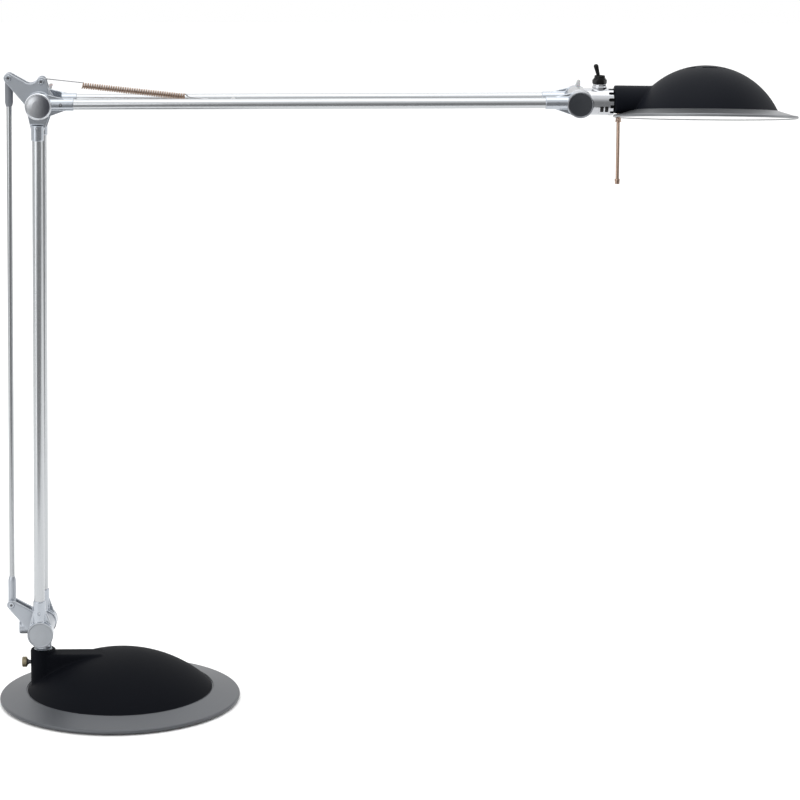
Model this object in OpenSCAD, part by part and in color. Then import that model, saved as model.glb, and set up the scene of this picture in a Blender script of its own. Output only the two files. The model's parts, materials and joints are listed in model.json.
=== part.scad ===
// Swing arm desk lamp: weighted round foot, two twin-tube arms, a parallelogram rod that holds the
// elbow bracket upright, a tension spring on the upper arm, and a domed shade on a swivelling barrel.
// +X runs along the upper arm towards the head, +Z is up, and the origin is the centre of the underside.

/* [Base] */
// Diameter of the steel base plate
base_d = 240; // [236:1:250]
// Height of the plate's rim above the table
rim_z = 5.4; // [5:0.1:7]
// Height of the plate where the dome stands on it
seat_z = 11.6; // [10.5:0.1:12.5]
// Diameter of the black dome at its foot
dome_d = 184.4; // [182:0.2:188]
// Height of the black dome above its foot
dome_h = 37; // [34:0.5:38]
// Distance from the foot's centre to the post tower
post_offset = 76.4; // [75:0.1:78]

/* [Arms] */
// Pivot to pivot length of the lower arm
lower_len = 524.4; // [400:0.2:700]
// Lean of the lower arm towards the head, in degrees
lower_lean = 1; // [-4:0.1:6]
// Pivot to pivot length of the upper arm
upper_len = 518.6; // [400:0.2:700]
// Rise of the upper arm towards the head, in degrees
upper_rise = 0.2; // [-4:0.1:6]
// Outer diameter of the arm tubes
tube_d = 10.3; // [10:0.1:10.6]
// Distance between the centres of the twin tubes
tube_gap = 44.6; // [44:0.1:46]
// Diameter of the parallelogram rod
rod_d = 5.2; // [4.8:0.1:6]
// Length of the rod's levers, hub centre to pin
lever_len = 38.7; // [37:0.1:41]
// Direction of the rod's levers, in degrees from +X
lever_angle = 140.2; // [138:0.1:145]

/* [Head] */
// Diameter of the shade's dome at its foot
shade_d = 138.8; // [136:0.2:142]
// Height of the shade's dome
shade_h = 43; // [42:0.5:45]
// Outer diameter of the silver skirt
skirt_d = 179.4; // [178:0.2:182]
// Distance from the head's pivot to the shade's centre
shade_x = 124.2; // [123:0.1:126]
// Droop of the head at rest, in degrees
head_pitch = 0.7; // [0:0.1:4]
// Turn of the shade about its neck at rest, front edge up, in degrees
head_roll = 8.2; // [0:0.1:20]
// Length of the handle below the skirt
handle_len = 55; // [40:1:80]

/* [Hidden] */
$fn = 72;

base_r = base_d / 2;
dome_r = dome_d / 2;
felt_t = 1.2;
dome_wall = 2.5;
dome_sphere_r = (dome_r * dome_r + dome_h * dome_h) / (2 * dome_h);
dome_sphere_z = seat_z + dome_h - dome_sphere_r;
bridge_top_z = seat_z + dome_h - 0.1;
bridge_half_w = 12;
bridge_end_x = -16;
tower_r = 12.7;
tower_top_z = 52.7;
bush_r = 9.4;
bush_foot_z = 14;
spigot_r = 7.5;
post_x = -post_offset;
lock_z = 38.3;

hub_z = 74.7;
hub_r = 12.6;
bore_r = 4;
run_gap = 0.05;
face_gap = 0.1;
casting_half_w = 15.3;
fitting_in_y = 16.2;
fitting_mid_in_y = 21.7;
fitting_mid_out_y = 22.7;
fitting_out_y = 28.4;
cap_t = 2;
cap_r = 12.8;
tube_r = tube_d / 2;
tube_bore_r = tube_r - 1;
tube_y = tube_gap / 2;
tube_shift = 1.2;
socket_r = 6.1;
socket_start = 18.6;
socket_mouth = 33.4;
web_t = 3;
screw_x = 21.4;
tube_end = socket_mouth - socket_start - 0.6;
lever_r = 4.6;
lever_half_w = 8.3;
slot_half_w = 4.4;
pin_r = 2;

elbow = [post_x + lower_len * sin(lower_lean), hub_z + lower_len * cos(lower_lean)];
head_hub = [elbow[0] + upper_len * cos(upper_rise), elbow[1] + upper_len * sin(upper_rise)];
rod_pin_rel = polar(lever_len, lever_angle);
spring_pin_rel = [1.7, 21.4];
cross_bar_x = 185;
cross_bar_r = 2.5;
spring_r = 3.4;
wire_r = 0.8;
coil_start = 39;
coil_len = 100;

barrel_r = 12.95;
barrel_end_x = 34.2;
mouth_x = 26;
mouth_r = 9.5;
switch_x = 20.3;
boss_top_z = 17.2;
nut_top_z = 23;
toggle_z = 20;
toggle_lean = 15;

shade_r = shade_d / 2;
shade_foot_z = -6.7;
shade_wall = 2;
shade_sphere_r = (shade_r * shade_r + shade_h * shade_h) / (2 * shade_h);
shade_sphere_z = shade_foot_z + shade_h - shade_sphere_r;
neck_r = 13.6;
neck_z = 2.4;
neck_x = barrel_end_x + 0.4;
spigot_tip_x = mouth_x + 0.5;
skirt_r = skirt_d / 2;
skirt_t = 1.2;
skirt_in_r = shade_r - 1;
skirt_drop = 6.3;
rim_r = 1.5;
reflector_t = 0.8;
glass_r = 43.5;
glass_z = -2;
lamp_z = 1.8;
handle_x = 39.3;
handle_top_z = -15;
collar_h = 3.1;

function polar(r, a) = [r * cos(a), r * sin(a)];
function arc(c, r, a0, a1, n) = [for (i = [0:n]) c + polar(r, a0 + (a1 - a0) * i / n)];
function skirt_z(r) = shade_foot_z - skirt_drop * (r - skirt_in_r) / (skirt_r - skirt_in_r);

rim_centre_z = skirt_z(skirt_r - rim_r) - skirt_t / 2 - 0.3;

// ---- helpers ----

// Extrudes a flat shape drawn in X and Z from y0 to y1.
module slab(y0, y1) {
    translate([0, y1, 0]) rotate([90, 0, 0]) linear_extrude(y1 - y0) children();
}

// A cylinder along Y.
module bar_y(r, y0, y1) {
    translate([0, y1, 0]) rotate([90, 0, 0]) cylinder(r = r, h = y1 - y0);
}

// A cylinder along X.
module bar_x(r, x0, x1) {
    translate([x0, 0, 0]) rotate([0, 90, 0]) cylinder(r = r, h = x1 - x0);
}

// A plain ring standing on z0.
module ring_z(r_out, r_in, z0, z1) {
    translate([0, 0, z0]) difference() {
        cylinder(r = r_out, h = z1 - z0);
        translate([0, 0, -1]) cylinder(r = r_in, h = z1 - z0 + 2);
    }
}

// The same part at the front and, mirrored, at the rear.
module front_and_rear() {
    children();
    mirror([0, 1, 0]) children();
}

// Two round ends joined by their common tangents, between y0 and y1.
module link(c1, r1, c2, r2, y0, y1) {
    d = norm(c2 - c1);
    a = atan2(c2[1] - c1[1], c2[0] - c1[0]);
    b = acos((r1 - r2) / d);
    translate([c1[0], 0, c1[1]]) bar_y(r1, y0, y1);
    translate([c2[0], 0, c2[1]]) bar_y(r2, y0, y1);
    slab(y0, y1) polygon([c1 + polar(r1, a - b), c2 + polar(r2, a - b), c2 + polar(r2, a + b),
        c1 + polar(r1, a + b)]);
}

// A washer about Y.
module washer_y(r_out, r_in, y0, y1) {
    difference() {
        bar_y(r_out, y0, y1);
        bar_y(r_in, y0 - 1, y1 + 1);
    }
}

// ---- places of the bodies at rest ----

module at_post() { translate([post_x, 0, hub_z]) children(); }
module at_lower_arm() { at_post() rotate([0, lower_lean, 0]) children(); }
module at_elbow() { translate([elbow[0], 0, elbow[1]]) children(); }
module at_upper_arm() { at_elbow() rotate([0, -upper_rise, 0]) children(); }
module at_head() { translate([head_hub[0], 0, head_hub[1]]) rotate([0, head_pitch, 0]) children(); }
module at_shade() { at_head() rotate([-head_roll, 0, 0]) children(); }
module at_shade_centre() { at_shade() translate([shade_x, 0, lamp_z]) children(); }

// ---- base ----

screw_angles = [60, 180 - 25, 180 + 25, 300];
screw_ring_r = 78;

module base_plate() {
    rim_mid_z = (rim_z + felt_t) / 2;
    edge_r = (rim_z - felt_t) / 2;
    color("silver") difference() {
        rotate_extrude($fn = 144) polygon(concat([[0, felt_t]],
            arc([base_r - edge_r, rim_mid_z], edge_r, -90, 90, 8), [[dome_r + 0.6, seat_z], [0, seat_z]]));
        translate([0, 0, felt_t - 1]) cylinder(r = 3.1, h = seat_z);
        translate([0, 0, felt_t - 1]) cylinder(r = 8, h = 5);
        for (a = screw_angles) rotate([0, 0, a]) translate([screw_ring_r, 0, felt_t - 1]) {
            cylinder(r = 2.1, h = seat_z);
            cylinder(r = 4.2, h = 4);
        }
    }
}

module felt_pad() {
    color("dimgray") cylinder(r = base_r - 6, h = felt_t);
}

module dome_shape(inset) {
    difference() {
        translate([0, 0, dome_sphere_z]) sphere(r = dome_sphere_r - inset, $fn = 144);
        translate([-200, -200, seat_z - 400]) cube([400, 400, 400]);
    }
}

module dome_cover() {
    color([0.1, 0.11, 0.14]) difference() {
        union() {
            difference() {
                dome_shape(0);
                dome_shape(dome_wall);
            }
            intersection() {
                union() {
                    for (a = screw_angles) rotate([0, 0, a]) translate([screw_ring_r, 0, seat_z])
                        cylinder(r = 4.5, h = 30);
                }
                dome_shape(0.5);
            }
            translate([post_x, 0, seat_z]) cylinder(r = tower_r, h = tower_top_z - seat_z);
            difference() {
                translate([post_x, -bridge_half_w, seat_z])
                    cube([bridge_end_x - post_x, 2 * bridge_half_w, bridge_top_z - seat_z]);
                dome_shape(dome_wall);
            }
        }
        translate([post_x, 0, seat_z - 1]) cylinder(r = bush_r, h = 60);
        translate([post_x, 0, lock_z]) bar_x(pin_r + run_gap, -20, 0);
        for (a = screw_angles) rotate([0, 0, a]) translate([screw_ring_r, 0, seat_z - 1])
            cylinder(r = 1.6, h = 7);
        translate([0, dome_r - 14, seat_z + 6.4]) bar_y(5, -4, 20);
    }
}

module dome_screws() {
    color("gray") for (a = screw_angles) rotate([0, 0, a]) translate([screw_ring_r, 0, felt_t + 0.2]) {
        difference() {
            cylinder(r = 4, h = 2.6);
            translate([-3, -0.5, -1]) cube([6, 1, 2]);
        }
        cylinder(r = 1.6, h = seat_z - felt_t + 5);
    }
}

module ballast_ring() {
    color("darkslategray") difference() {
        rotate_extrude($fn = 96) polygon([[52, seat_z], [72, seat_z], [72, seat_z + 10], [62, seat_z + 15],
            [52, seat_z + 18]]);
        translate([post_x, 0, seat_z - 1]) cylinder(r = tower_r + 1, h = 40);
        translate([0, 66, seat_z + 6.4]) bar_y(7, -20, 20);
    }
}

module transformer() {
    color("goldenrod") rotate_extrude($fn = 96) translate([24, seat_z + 13]) {
        square([22, 18], center = true);
        for (s = [-1, 1]) translate([s * 5, 0]) square([12, 24], center = true);
    }
}

module transformer_bolt() {
    color("gray") {
        translate([0, 0, felt_t + 0.3]) cylinder(r = 6, h = 3, $fn = 6);
        translate([0, 0, felt_t + 0.3]) cylinder(r = 3, h = seat_z + 28);
        translate([0, 0, seat_z + 25.2]) cylinder(r = 18, h = 1.5);
        translate([0, 0, seat_z + 26.7]) cylinder(r = 5.5, h = 2, $fn = 6);
    }
}

module post_bush() {
    color("gainsboro") translate([post_x, 0, 0]) difference() {
        ring_z(bush_r, spigot_r + run_gap, bush_foot_z, tower_top_z - 0.6);
        translate([0, 0, lock_z]) bar_x(pin_r + run_gap, -20, 0);
    }
}

module cord_gland() {
    color("black") translate([0, dome_r - 14, seat_z + 6.4]) difference() {
        union() {
            bar_y(5, -2, 13);
            bar_y(5.9, 10, 12);
        }
        bar_y(3.2, -3, 14);
    }
}

module swivel_lock_screw() {
    stem_end = -(spigot_r + 0.3);
    head_start = -21.1;
    color("darkkhaki") translate([post_x, 0, lock_z]) {
        bar_x(pin_r, head_start + 5, stem_end);
        translate([head_start, 0, 0]) rotate([0, 90, 0]) difference() {
            union() {
                cylinder(r1 = 4.6, r2 = 5.25, h = 2);
                translate([0, 0, 2]) cylinder(r = 5.25, h = 2);
                translate([0, 0, 4]) cylinder(r1 = 5.25, r2 = 3.2, h = 1.6);
            }
            for (a = [0:20:359]) rotate([0, 0, a]) translate([5.4, 0, -1]) cylinder(r = 0.4, h = 8, $fn = 16);
        }
    }
}

// ---- post bracket ----

// A forked lever from the hub to the pin at p, without its bores.
module forked_lever(p, slot_in, slot_out) {
    a = atan2(p[1], p[0]);
    difference() {
        link([0, 0], hub_r - 1.1, p, lever_r, -lever_half_w, lever_half_w);
        rotate([0, -a, 0]) translate([norm(p) - slot_in, -slot_half_w, -20])
            cube([slot_in + slot_out, 2 * slot_half_w, 40]);
    }
}

module post_casting() {
    stub_end = -23;
    neck_foot_z = tower_top_z - hub_z + 0.3;
    color("lightgray") at_post() difference() {
        union() {
            difference() {
                forked_lever(rod_pin_rel, 19, 10);
                bar_y(hub_r - 2, -lever_half_w - 1, lever_half_w + 1);
            }
            bar_y(hub_r - 1.1, -casting_half_w, casting_half_w);
            slab(-8, 8) polygon([[-spigot_r - 0.5, neck_foot_z], [spigot_r + 0.5, neck_foot_z],
                polar(hub_r - 1.8, -15), [0, 0], polar(hub_r - 1.8, 195)]);
            translate([0, 0, neck_foot_z]) cylinder(r = spigot_r + 0.9, h = 5);
            translate([0, 0, bush_foot_z - hub_z + 2]) cylinder(r = spigot_r,
                h = hub_z - bush_foot_z - 10);
            bar_x(6.75, stub_end, 0);
        }
        bar_y(bore_r + run_gap, -30, 30);
        translate([rod_pin_rel[0], 0, rod_pin_rel[1]]) bar_y(pin_r, -20, 20);
        bar_x(4.5, stub_end - 1, -14);
    }
}

module stub_plug() {
    color("lightgray") at_post() {
        bar_x(4.5, -22.8, -15);
    }
}

module cross_pin(r, half_w) {
    bar_y(r, -half_w, half_w);
    front_and_rear() bar_y(r + 1, -half_w - 0.9, -half_w);
}

module lower_rod_pin() {
    color("dimgray") at_post() translate([rod_pin_rel[0], 0, rod_pin_rel[1]])
        cross_pin(pin_r, lever_half_w);
}

// ---- arm fittings ----

// One end fitting of an arm: the hub plate between y0 and y1, the thin tapered web and the tube socket.
// The hub is at the origin and the arm runs along +Z. The front one is drawn, on the -Y side.
module end_fitting(y0, y1) {
    seat = socket_start + 0.6;
    web_y = min(max(-tube_y - web_t / 2, y0), y1 - web_t);
    difference() {
        union() {
            bar_y(hub_r, y0, y1);
            intersection() {
                link([0, 0], hub_r - 0.8, [-tube_shift, socket_mouth - 4], socket_r + 0.3, web_y,
                    web_y + web_t);
                translate([-30, -40, 0]) cube([60, 40, socket_mouth]);
            }
            intersection() {
                translate([-tube_shift, -tube_y, hub_r + 0.7]) cylinder(r = socket_r, h = 10);
                translate([-30, y0, 0]) cube([60, y1 - y0, 40]);
            }
            translate([-tube_shift, -tube_y, socket_start])
                cylinder(r = socket_r, h = socket_mouth - socket_start);
        }
        bar_y(bore_r, -40, 0);
        translate([-tube_shift, -tube_y, seat]) cylinder(r = tube_r, h = 30);
        translate([-tube_shift, -tube_y, screw_x]) bar_y(1.6, -20, 0);
    }
}

// The outer half hubs run on the elbow bolt, so their bore is opened to a running fit.
module running_bore() {
    difference() {
        children();
        bar_y(bore_r + run_gap, -40, 0);
    }
}

module arm_tube(x0, x1, y) {
    translate([0, y, x0]) difference() {
        cylinder(r = tube_r, h = x1 - x0);
        translate([0, 0, -1]) cylinder(r = tube_bore_r, h = x1 - x0 + 2);
    }
}

module set_screw(along) {
    translate([-tube_shift, 0, along]) difference() {
        bar_y(1.6, -tube_y - socket_r + 0.4, -tube_y - tube_r);
        bar_y(0.8, -tube_y - socket_r - 1, -tube_y - socket_r + 0.8);
    }
}

// Turns an arm drawn along +Z so that it runs along +X.
module lay_down() { rotate([0, 90, 0]) children(); }

// ---- lower arm ----

module lower_tube(y) {
    translate([-tube_shift, 0, 0])
        arm_tube(socket_mouth - tube_end, lower_len - socket_mouth + tube_end, y);
}

module lower_tube_front() { color("silver") at_lower_arm() lower_tube(-tube_y); }
module lower_tube_rear() { color("silver") at_lower_arm() lower_tube(tube_y); }

module lower_foot_fittings() {
    color("lightgray") at_lower_arm() front_and_rear()
        end_fitting(-fitting_out_y, -fitting_in_y);
}

module lower_top_fittings() {
    color("lightgray") at_lower_arm() translate([0, 0, lower_len]) mirror([0, 0, 1]) front_and_rear()
        end_fitting(-fitting_mid_in_y, -fitting_in_y);
}

module lower_set_screws() {
    color("dimgray") at_lower_arm() front_and_rear() {
        set_screw(screw_x);
        set_screw(lower_len - screw_x);
    }
}

module lower_pivot_bolt() {
    color("gray") at_post() bar_y(bore_r, -fitting_out_y, fitting_out_y);
}

// A slightly crowned disc with a raised rim, its inner face at y = 0 and its outer face towards -Y.
module disc_cap() {
    rotate([90, 0, 0]) rotate_extrude() polygon([[0, 0], [cap_r - 0.6, 0], [cap_r, 0.5],
        [cap_r, cap_t - 0.6], [cap_r - 0.6, cap_t], [cap_r - 1.6, cap_t], [cap_r - 2, cap_t - 0.4],
        [0, cap_t]]);
}

module lower_joint_caps() {
    color("lightgray") at_post() front_and_rear() translate([0, -fitting_out_y, 0]) disc_cap();
}

module lower_arm_washers() {
    color("black") {
        at_post() front_and_rear()
            washer_y(hub_r - 1.6, bore_r, -fitting_in_y, -casting_half_w - face_gap);
        at_elbow() front_and_rear() {
            washer_y(hub_r - 1.6, bore_r, -fitting_in_y, -casting_half_w - face_gap);
            washer_y(hub_r - 1.6, bore_r, -fitting_mid_out_y + face_gap, -fitting_mid_in_y);
        }
    }
}

module elbow_bolt() {
    color("gray") at_elbow() bar_y(bore_r, -fitting_out_y - face_gap, fitting_out_y + 5);
}

module elbow_cap() {
    color("lightgray") at_elbow() translate([0, -fitting_out_y - face_gap, 0]) disc_cap();
}

module lower_lead() {
    color("dimgray") at_lower_arm() translate([-tube_shift, tube_y, socket_mouth - 10])
        cylinder(r = 1.5, h = lower_len - 2 * socket_mouth + 20);
}

// ---- parallelogram rod ----

rod_sleeve = 28;
eye_r = 4;
eye_half_w = slot_half_w - 0.4;

module at_rod() {
    at_post() translate([rod_pin_rel[0], 0, rod_pin_rel[1]]) rotate([0, lower_lean, 0]) children();
}

// A rod end whose eye is at the origin, its sleeve running up +Z; the tip tapers at the far end.
module rod_end(sleeve_r, bore) {
    difference() {
        union() {
            bar_y(eye_r, -eye_half_w, eye_half_w);
            cylinder(r = sleeve_r, h = rod_sleeve - 4);
            translate([0, 0, rod_sleeve - 4]) cylinder(r1 = sleeve_r, r2 = rod_d / 2 + 0.3, h = 4);
        }
        bar_y(bore, -10, 10);
        translate([0, 0, 10]) cylinder(r = rod_d / 2, h = 30);
    }
}

module parallel_rod() {
    color("silver") at_rod() translate([0, 0, 10]) cylinder(r = rod_d / 2, h = lower_len - 20);
}

module rod_lower_end() { color("lightgray") at_rod() rod_end(3.85, pin_r + run_gap); }

module rod_upper_end() {
    color("dimgray") at_rod() translate([0, 0, lower_len]) mirror([0, 0, 1]) rod_end(3.95, pin_r + 0.3);
}

// ---- elbow bracket ----

module lobe_fillet() {
    fillet_r = 8;
    plate_r = hub_r - 1.1;
    n1 = lever_angle - acos((plate_r - lever_r) / lever_len);
    lobe_angle = atan2(spring_pin_rel[1], spring_pin_rel[0]);
    n2 = lobe_angle + acos((plate_r - lever_r) / norm(spring_pin_rel));
    det = sin(n2 - n1);
    c = (plate_r + fillet_r) / det * [sin(n2) - sin(n1), cos(n1) - cos(n2)];
    difference() {
        slab(-lever_half_w, lever_half_w)
            polygon([[0, 0], c - polar(fillet_r, n1), c, c - polar(fillet_r, n2)]);
        translate([c[0], 0, c[1]]) bar_y(fillet_r, -lever_half_w - 1, lever_half_w + 1);
    }
}

module elbow_plate() {
    color("lightgray") at_elbow() difference() {
        union() {
            difference() {
                union() {
                    forked_lever(rod_pin_rel, 22, 10);
                    forked_lever(spring_pin_rel, 7, 10);
                    difference() {
                        lobe_fillet();
                        rotate([0, -lever_angle, 0]) translate([lever_len - 22, -slot_half_w, -20])
                            cube([30, 2 * slot_half_w, 40]);
                    }
                }
                bar_y(hub_r - 2, -lever_half_w - 1, lever_half_w + 1);
            }
            bar_y(hub_r - 1.1, -casting_half_w, casting_half_w);
        }
        bar_y(bore_r + run_gap, -30, 30);
        translate([rod_pin_rel[0], 0, rod_pin_rel[1]]) bar_y(pin_r, -20, 20);
        translate([spring_pin_rel[0], 0, spring_pin_rel[1]]) bar_y(pin_r, -20, 20);
    }
}

module upper_rod_pin() {
    color("dimgray") at_elbow() translate([rod_pin_rel[0], 0, rod_pin_rel[1]])
        cross_pin(pin_r, lever_half_w);
}

module spring_pin() {
    color("dimgray") at_elbow() translate([spring_pin_rel[0], 0, spring_pin_rel[1]])
        cross_pin(pin_r, lever_half_w);
}

// ---- upper arm ----

module upper_tube(y) {
    bar_reach = tube_y - tube_bore_r + 1;
    difference() {
        lay_down() translate([-tube_shift, 0, 0])
            arm_tube(socket_mouth - tube_end, upper_len - socket_mouth + tube_end, y);
        translate([cross_bar_x, 0, tube_shift]) bar_y(cross_bar_r, -bar_reach, bar_reach);
    }
}

module upper_tube_front() { color("silver") at_upper_arm() upper_tube(-tube_y); }
module upper_tube_rear() { color("silver") at_upper_arm() upper_tube(tube_y); }

module upper_elbow_fittings() {
    color("lightgray") at_upper_arm() front_and_rear() running_bore() lay_down()
        end_fitting(-fitting_out_y, -fitting_mid_out_y);
}

module upper_head_fittings() {
    color("lightgray") at_upper_arm() translate([upper_len, 0, 0]) mirror([1, 0, 0]) front_and_rear()
        lay_down() end_fitting(-fitting_out_y, -fitting_in_y);
}

module upper_set_screws() {
    color("dimgray") at_upper_arm() front_and_rear() lay_down() {
        set_screw(screw_x);
        set_screw(upper_len - screw_x);
    }
}

module spring_cross_bar() {
    reach = tube_y - tube_bore_r - 0.2;
    color("gray") at_upper_arm() translate([cross_bar_x, 0, tube_shift]) bar_y(cross_bar_r, -reach, reach);
}

spring_drop = atan2(spring_pin_rel[1] - tube_shift, cross_bar_x - spring_pin_rel[0]);
module at_spring() {
    at_elbow() translate([spring_pin_rel[0], 0, spring_pin_rel[1]]) rotate([0, spring_drop, 0]) children();
}

// The wound length, with the straight tail that runs down to the cross bar.
module spring_coil() {
    tail_end = norm([cross_bar_x - spring_pin_rel[0], spring_pin_rel[1] - tube_shift]) - cross_bar_r - 0.4;
    color("rosybrown") at_spring() {
        bar_x(spring_r, coil_start, coil_start + coil_len);
        bar_x(wire_r, coil_start + coil_len - 1, tail_end);
    }
}

module spring_hook_wire() {
    color("silver") at_spring() {
        bar_x(wire_r, pin_r + 0.6, coil_start - 0.4);
    }
}

module head_bolt() {
    color("gray") translate([head_hub[0], 0, head_hub[1]]) bar_y(bore_r, -fitting_out_y, fitting_out_y + 5);
}

module head_cap() {
    color("gray") translate([head_hub[0], -fitting_out_y, head_hub[1]]) disc_cap();
}

module head_washers() {
    color("black") translate([head_hub[0], 0, head_hub[1]]) front_and_rear()
        washer_y(hub_r - 1.6, bore_r, -fitting_in_y, -casting_half_w - face_gap);
}

module upper_lead() {
    color("dimgray") at_upper_arm() translate([0, -tube_y, tube_shift])
        bar_x(1.5, socket_mouth - 10, upper_len - socket_mouth + 10);
}

// A clamp nut with one wing that stands out at the given angle.
module clamp_nut(wing_angle) {
    nut_t = 4.4;
    y0 = fitting_out_y + face_gap;
    difference() {
        union() {
            bar_y(cap_r, y0, y0 + nut_t);
            rotate([0, -wing_angle, 0]) {
                translate([cap_r - 3, y0, -1.7]) cube([7, 3.2, 3.4]);
                translate([cap_r + 4, 0, 0]) bar_y(1.7, y0, y0 + 3.2);
            }
        }
        bar_y(bore_r + run_gap, y0 - 1, y0 + nut_t + 1);
    }
}

module elbow_clamp_nut() { color("gainsboro") at_elbow() clamp_nut(61); }
module head_clamp_nut() { color("gainsboro") translate([head_hub[0], 0, head_hub[1]]) clamp_nut(80); }

// ---- head barrel ----

module barrel_casting() {
    notches = 12;
    color("silver") at_head() difference() {
        union() {
            bar_y(barrel_r, -casting_half_w, casting_half_w);
            bar_x(barrel_r, 0, barrel_end_x);
            translate([switch_x, 0, 0]) cylinder(r = 7.1, h = boss_top_z);
        }
        bar_y(bore_r + run_gap, -30, 30);
        bar_x(mouth_r, mouth_x, barrel_end_x + 1);
        bar_x(4.5, 10, mouth_x + 1);
        translate([switch_x, 0, -11]) cylinder(r = 5.9, h = 40);
        for (i = [0:notches - 1]) rotate([i * 360 / notches + 15.5, 0, 0])
            translate([barrel_end_x - 4, 0, mouth_r - 1]) {
                cylinder(r = 1.6, h = 8, $fn = 24);
                translate([0, -1.6, 0]) cube([8, 3.2, 8]);
            }
    }
}

module barrel_pad() {
    pad_x = 18.9;
    pad_w = 11.4;
    color("silver") at_head() difference() {
        intersection() {
            bar_x(barrel_r + 0.6, pad_x, pad_x + pad_w);
            translate([pad_x, -20, -11.3]) cube([pad_w, 20, 11]);
        }
        bar_x(barrel_r, pad_x - 1, pad_x + pad_w + 1);
        for (i = [0, 1]) translate([pad_x + 1.6 + i * 4.6, -20, -8.8]) cube([3.4, 20, 5.6]);
    }
}

module switch_body() {
    color("black") at_head() translate([switch_x, 0, 0]) difference() {
        union() {
            translate([0, 0, -7.5]) cylinder(r = 5.8, h = boss_top_z + 5.5);
            for (s = [-1, 1]) translate([s * 2.5 - 0.4, -1.5, -10.5]) cube([0.8, 3, 4]);
        }
        translate([0, 0, toggle_z - 5]) cylinder(r = 4.6, h = 20);
    }
}

module switch_nut() {
    nut_h = nut_top_z - boss_top_z;
    color([0.06, 0.06, 0.06]) at_head() translate([switch_x, 0, boss_top_z]) difference() {
        union() {
            cylinder(r = 7.1, h = nut_h - 1.2, $fn = 6);
            cylinder(r = 5.9, h = nut_h);
            cylinder(r = 5.2, h = nut_h + 2.2);
        }
        translate([0, 0, -1]) cylinder(r = 4.4, h = nut_h + 4);
    }
}

module toggle_lever() {
    stem = 14.6;
    color([0.05, 0.05, 0.05]) at_head() translate([switch_x, 0, toggle_z]) rotate([0, -toggle_lean, 0]) {
        sphere(r = 3.1);
        bar_y(0.8, -4.2, 4.2);
        cylinder(r = 1.9, h = stem);
        translate([0, 0, 4.5]) cylinder(r1 = 1.9, r2 = 2.4, h = stem - 4.5);
        translate([0, 0, stem]) sphere(r = 2.4);
    }
}

// ---- shade ----

module shade_shape(inset) {
    difference() {
        translate([0, 0, shade_sphere_z]) sphere(r = shade_sphere_r - inset, $fn = 144);
        translate([-200, -200, shade_foot_z - 400]) cube([400, 400, 400]);
    }
}

// Everything at or below the skirt's top face and its rolled rim.
module under_skirt() {
    rim_top = rim_centre_z + rim_r + 0.1;
    near_rim = skirt_r - 2.2 * rim_r;
    rotate_extrude($fn = 144) polygon([[0, -60], [skirt_r + 10, -60], [skirt_r + 10, rim_top],
        [near_rim, rim_top], [near_rim, skirt_z(near_rim)], [skirt_in_r, shade_foot_z], [0, shade_foot_z]]);
}

module shade_dome() {
    vents = 6;
    vent_r = 19.5;
    vent_w = 3;
    neck_end = shade_x - 50;
    color([0.13, 0.14, 0.15]) at_shade() difference() {
        union() {
            difference() {
                translate([shade_x, 0, 0]) shade_shape(0);
                translate([shade_x, 0, 0]) shade_shape(shade_wall);
            }
            difference() {
                translate([0, 0, neck_z]) bar_x(neck_r, neck_x, neck_end);
                translate([shade_x, 0, 0]) shade_shape(shade_wall);
                translate([shade_x, 0, 0]) under_skirt();
            }
        }
        bar_x(mouth_r - run_gap, neck_x - 1, neck_x + 9);
        bar_x(4.5, neck_x, shade_x);
        translate([handle_x, 0, -20]) cylinder(r = 1.5, h = 14);
        translate([shade_x, 0, 0]) for (i = [0:vents - 1])
            rotate([0, 0, -88 + i * 360 / vents - 20])
                rotate_extrude(angle = 40) translate([vent_r, 24]) square([vent_w, 20]);
    }
}

module swivel_spigot() {
    color("gray") at_shade() difference() {
        bar_x(mouth_r - run_gap, spigot_tip_x, neck_x + 9);
        bar_x(5.5, spigot_tip_x - 1, neck_x + 10);
    }
}

module skirt_ring() {
    bead_r = skirt_r - 1.8 * rim_r;
    color("gray") at_shade() difference() {
        translate([shade_x, 0, 0]) rotate_extrude($fn = 144) polygon(concat(
            [[skirt_in_r, shade_foot_z], [skirt_in_r, shade_foot_z - skirt_t],
                [skirt_r - 2 * rim_r, skirt_z(skirt_r - 2 * rim_r) - skirt_t]],
            arc([skirt_r - rim_r, rim_centre_z], rim_r, 200, 430, 10),
            [[bead_r, skirt_z(bead_r)]]));
        translate([handle_x, 0, -20]) cylinder(r = 1.6, h = 14);
    }
}

reflector_line = [[skirt_r - 4, skirt_z(skirt_r - 4) - skirt_t - 0.15], [66, -8.8], [47, 3], [14, 18.8]];

module reflector() {
    n = len(reflector_line);
    color("white") at_shade() difference() {
        translate([shade_x, 0, 0]) rotate_extrude($fn = 96) polygon(concat(reflector_line,
            [for (i = [n - 1:-1:0]) reflector_line[i] - [0, reflector_t]]));
        translate([handle_x, 0, -20]) cylinder(r = 1.6, h = 14);
    }
}

module lampholder() {
    color("ivory") at_shade_centre() difference() {
        union() {
            translate([0, 0, 17.2]) cylinder(r = 15, h = 1.4);
            translate([0, 0, 15]) cylinder(r = 9, h = 15);
        }
        for (s = [-1, 1]) translate([s * 3.2, 0, 14]) cylinder(r = 0.65, h = 9, $fn = 16);
    }
}

module halogen_capsule() {
    color([0.85, 0.9, 0.95]) at_shade_centre() {
        translate([0, 0, 11.4]) cube([9, 4, 5.6], center = true);
        translate([0, 0, 5.4]) cylinder(r = 4.2, h = 6);
        translate([0, 0, 5.4]) sphere(r = 4.2);
        for (s = [-1, 1]) translate([s * 3.2, 0, 12]) cylinder(r = 0.6, h = 9, $fn = 16);
    }
}

module glass_shield() {
    color([0.8, 0.9, 0.95, 0.5]) at_shade_centre() translate([0, 0, glass_z]) cylinder(r = glass_r, h = 2);
}

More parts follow.
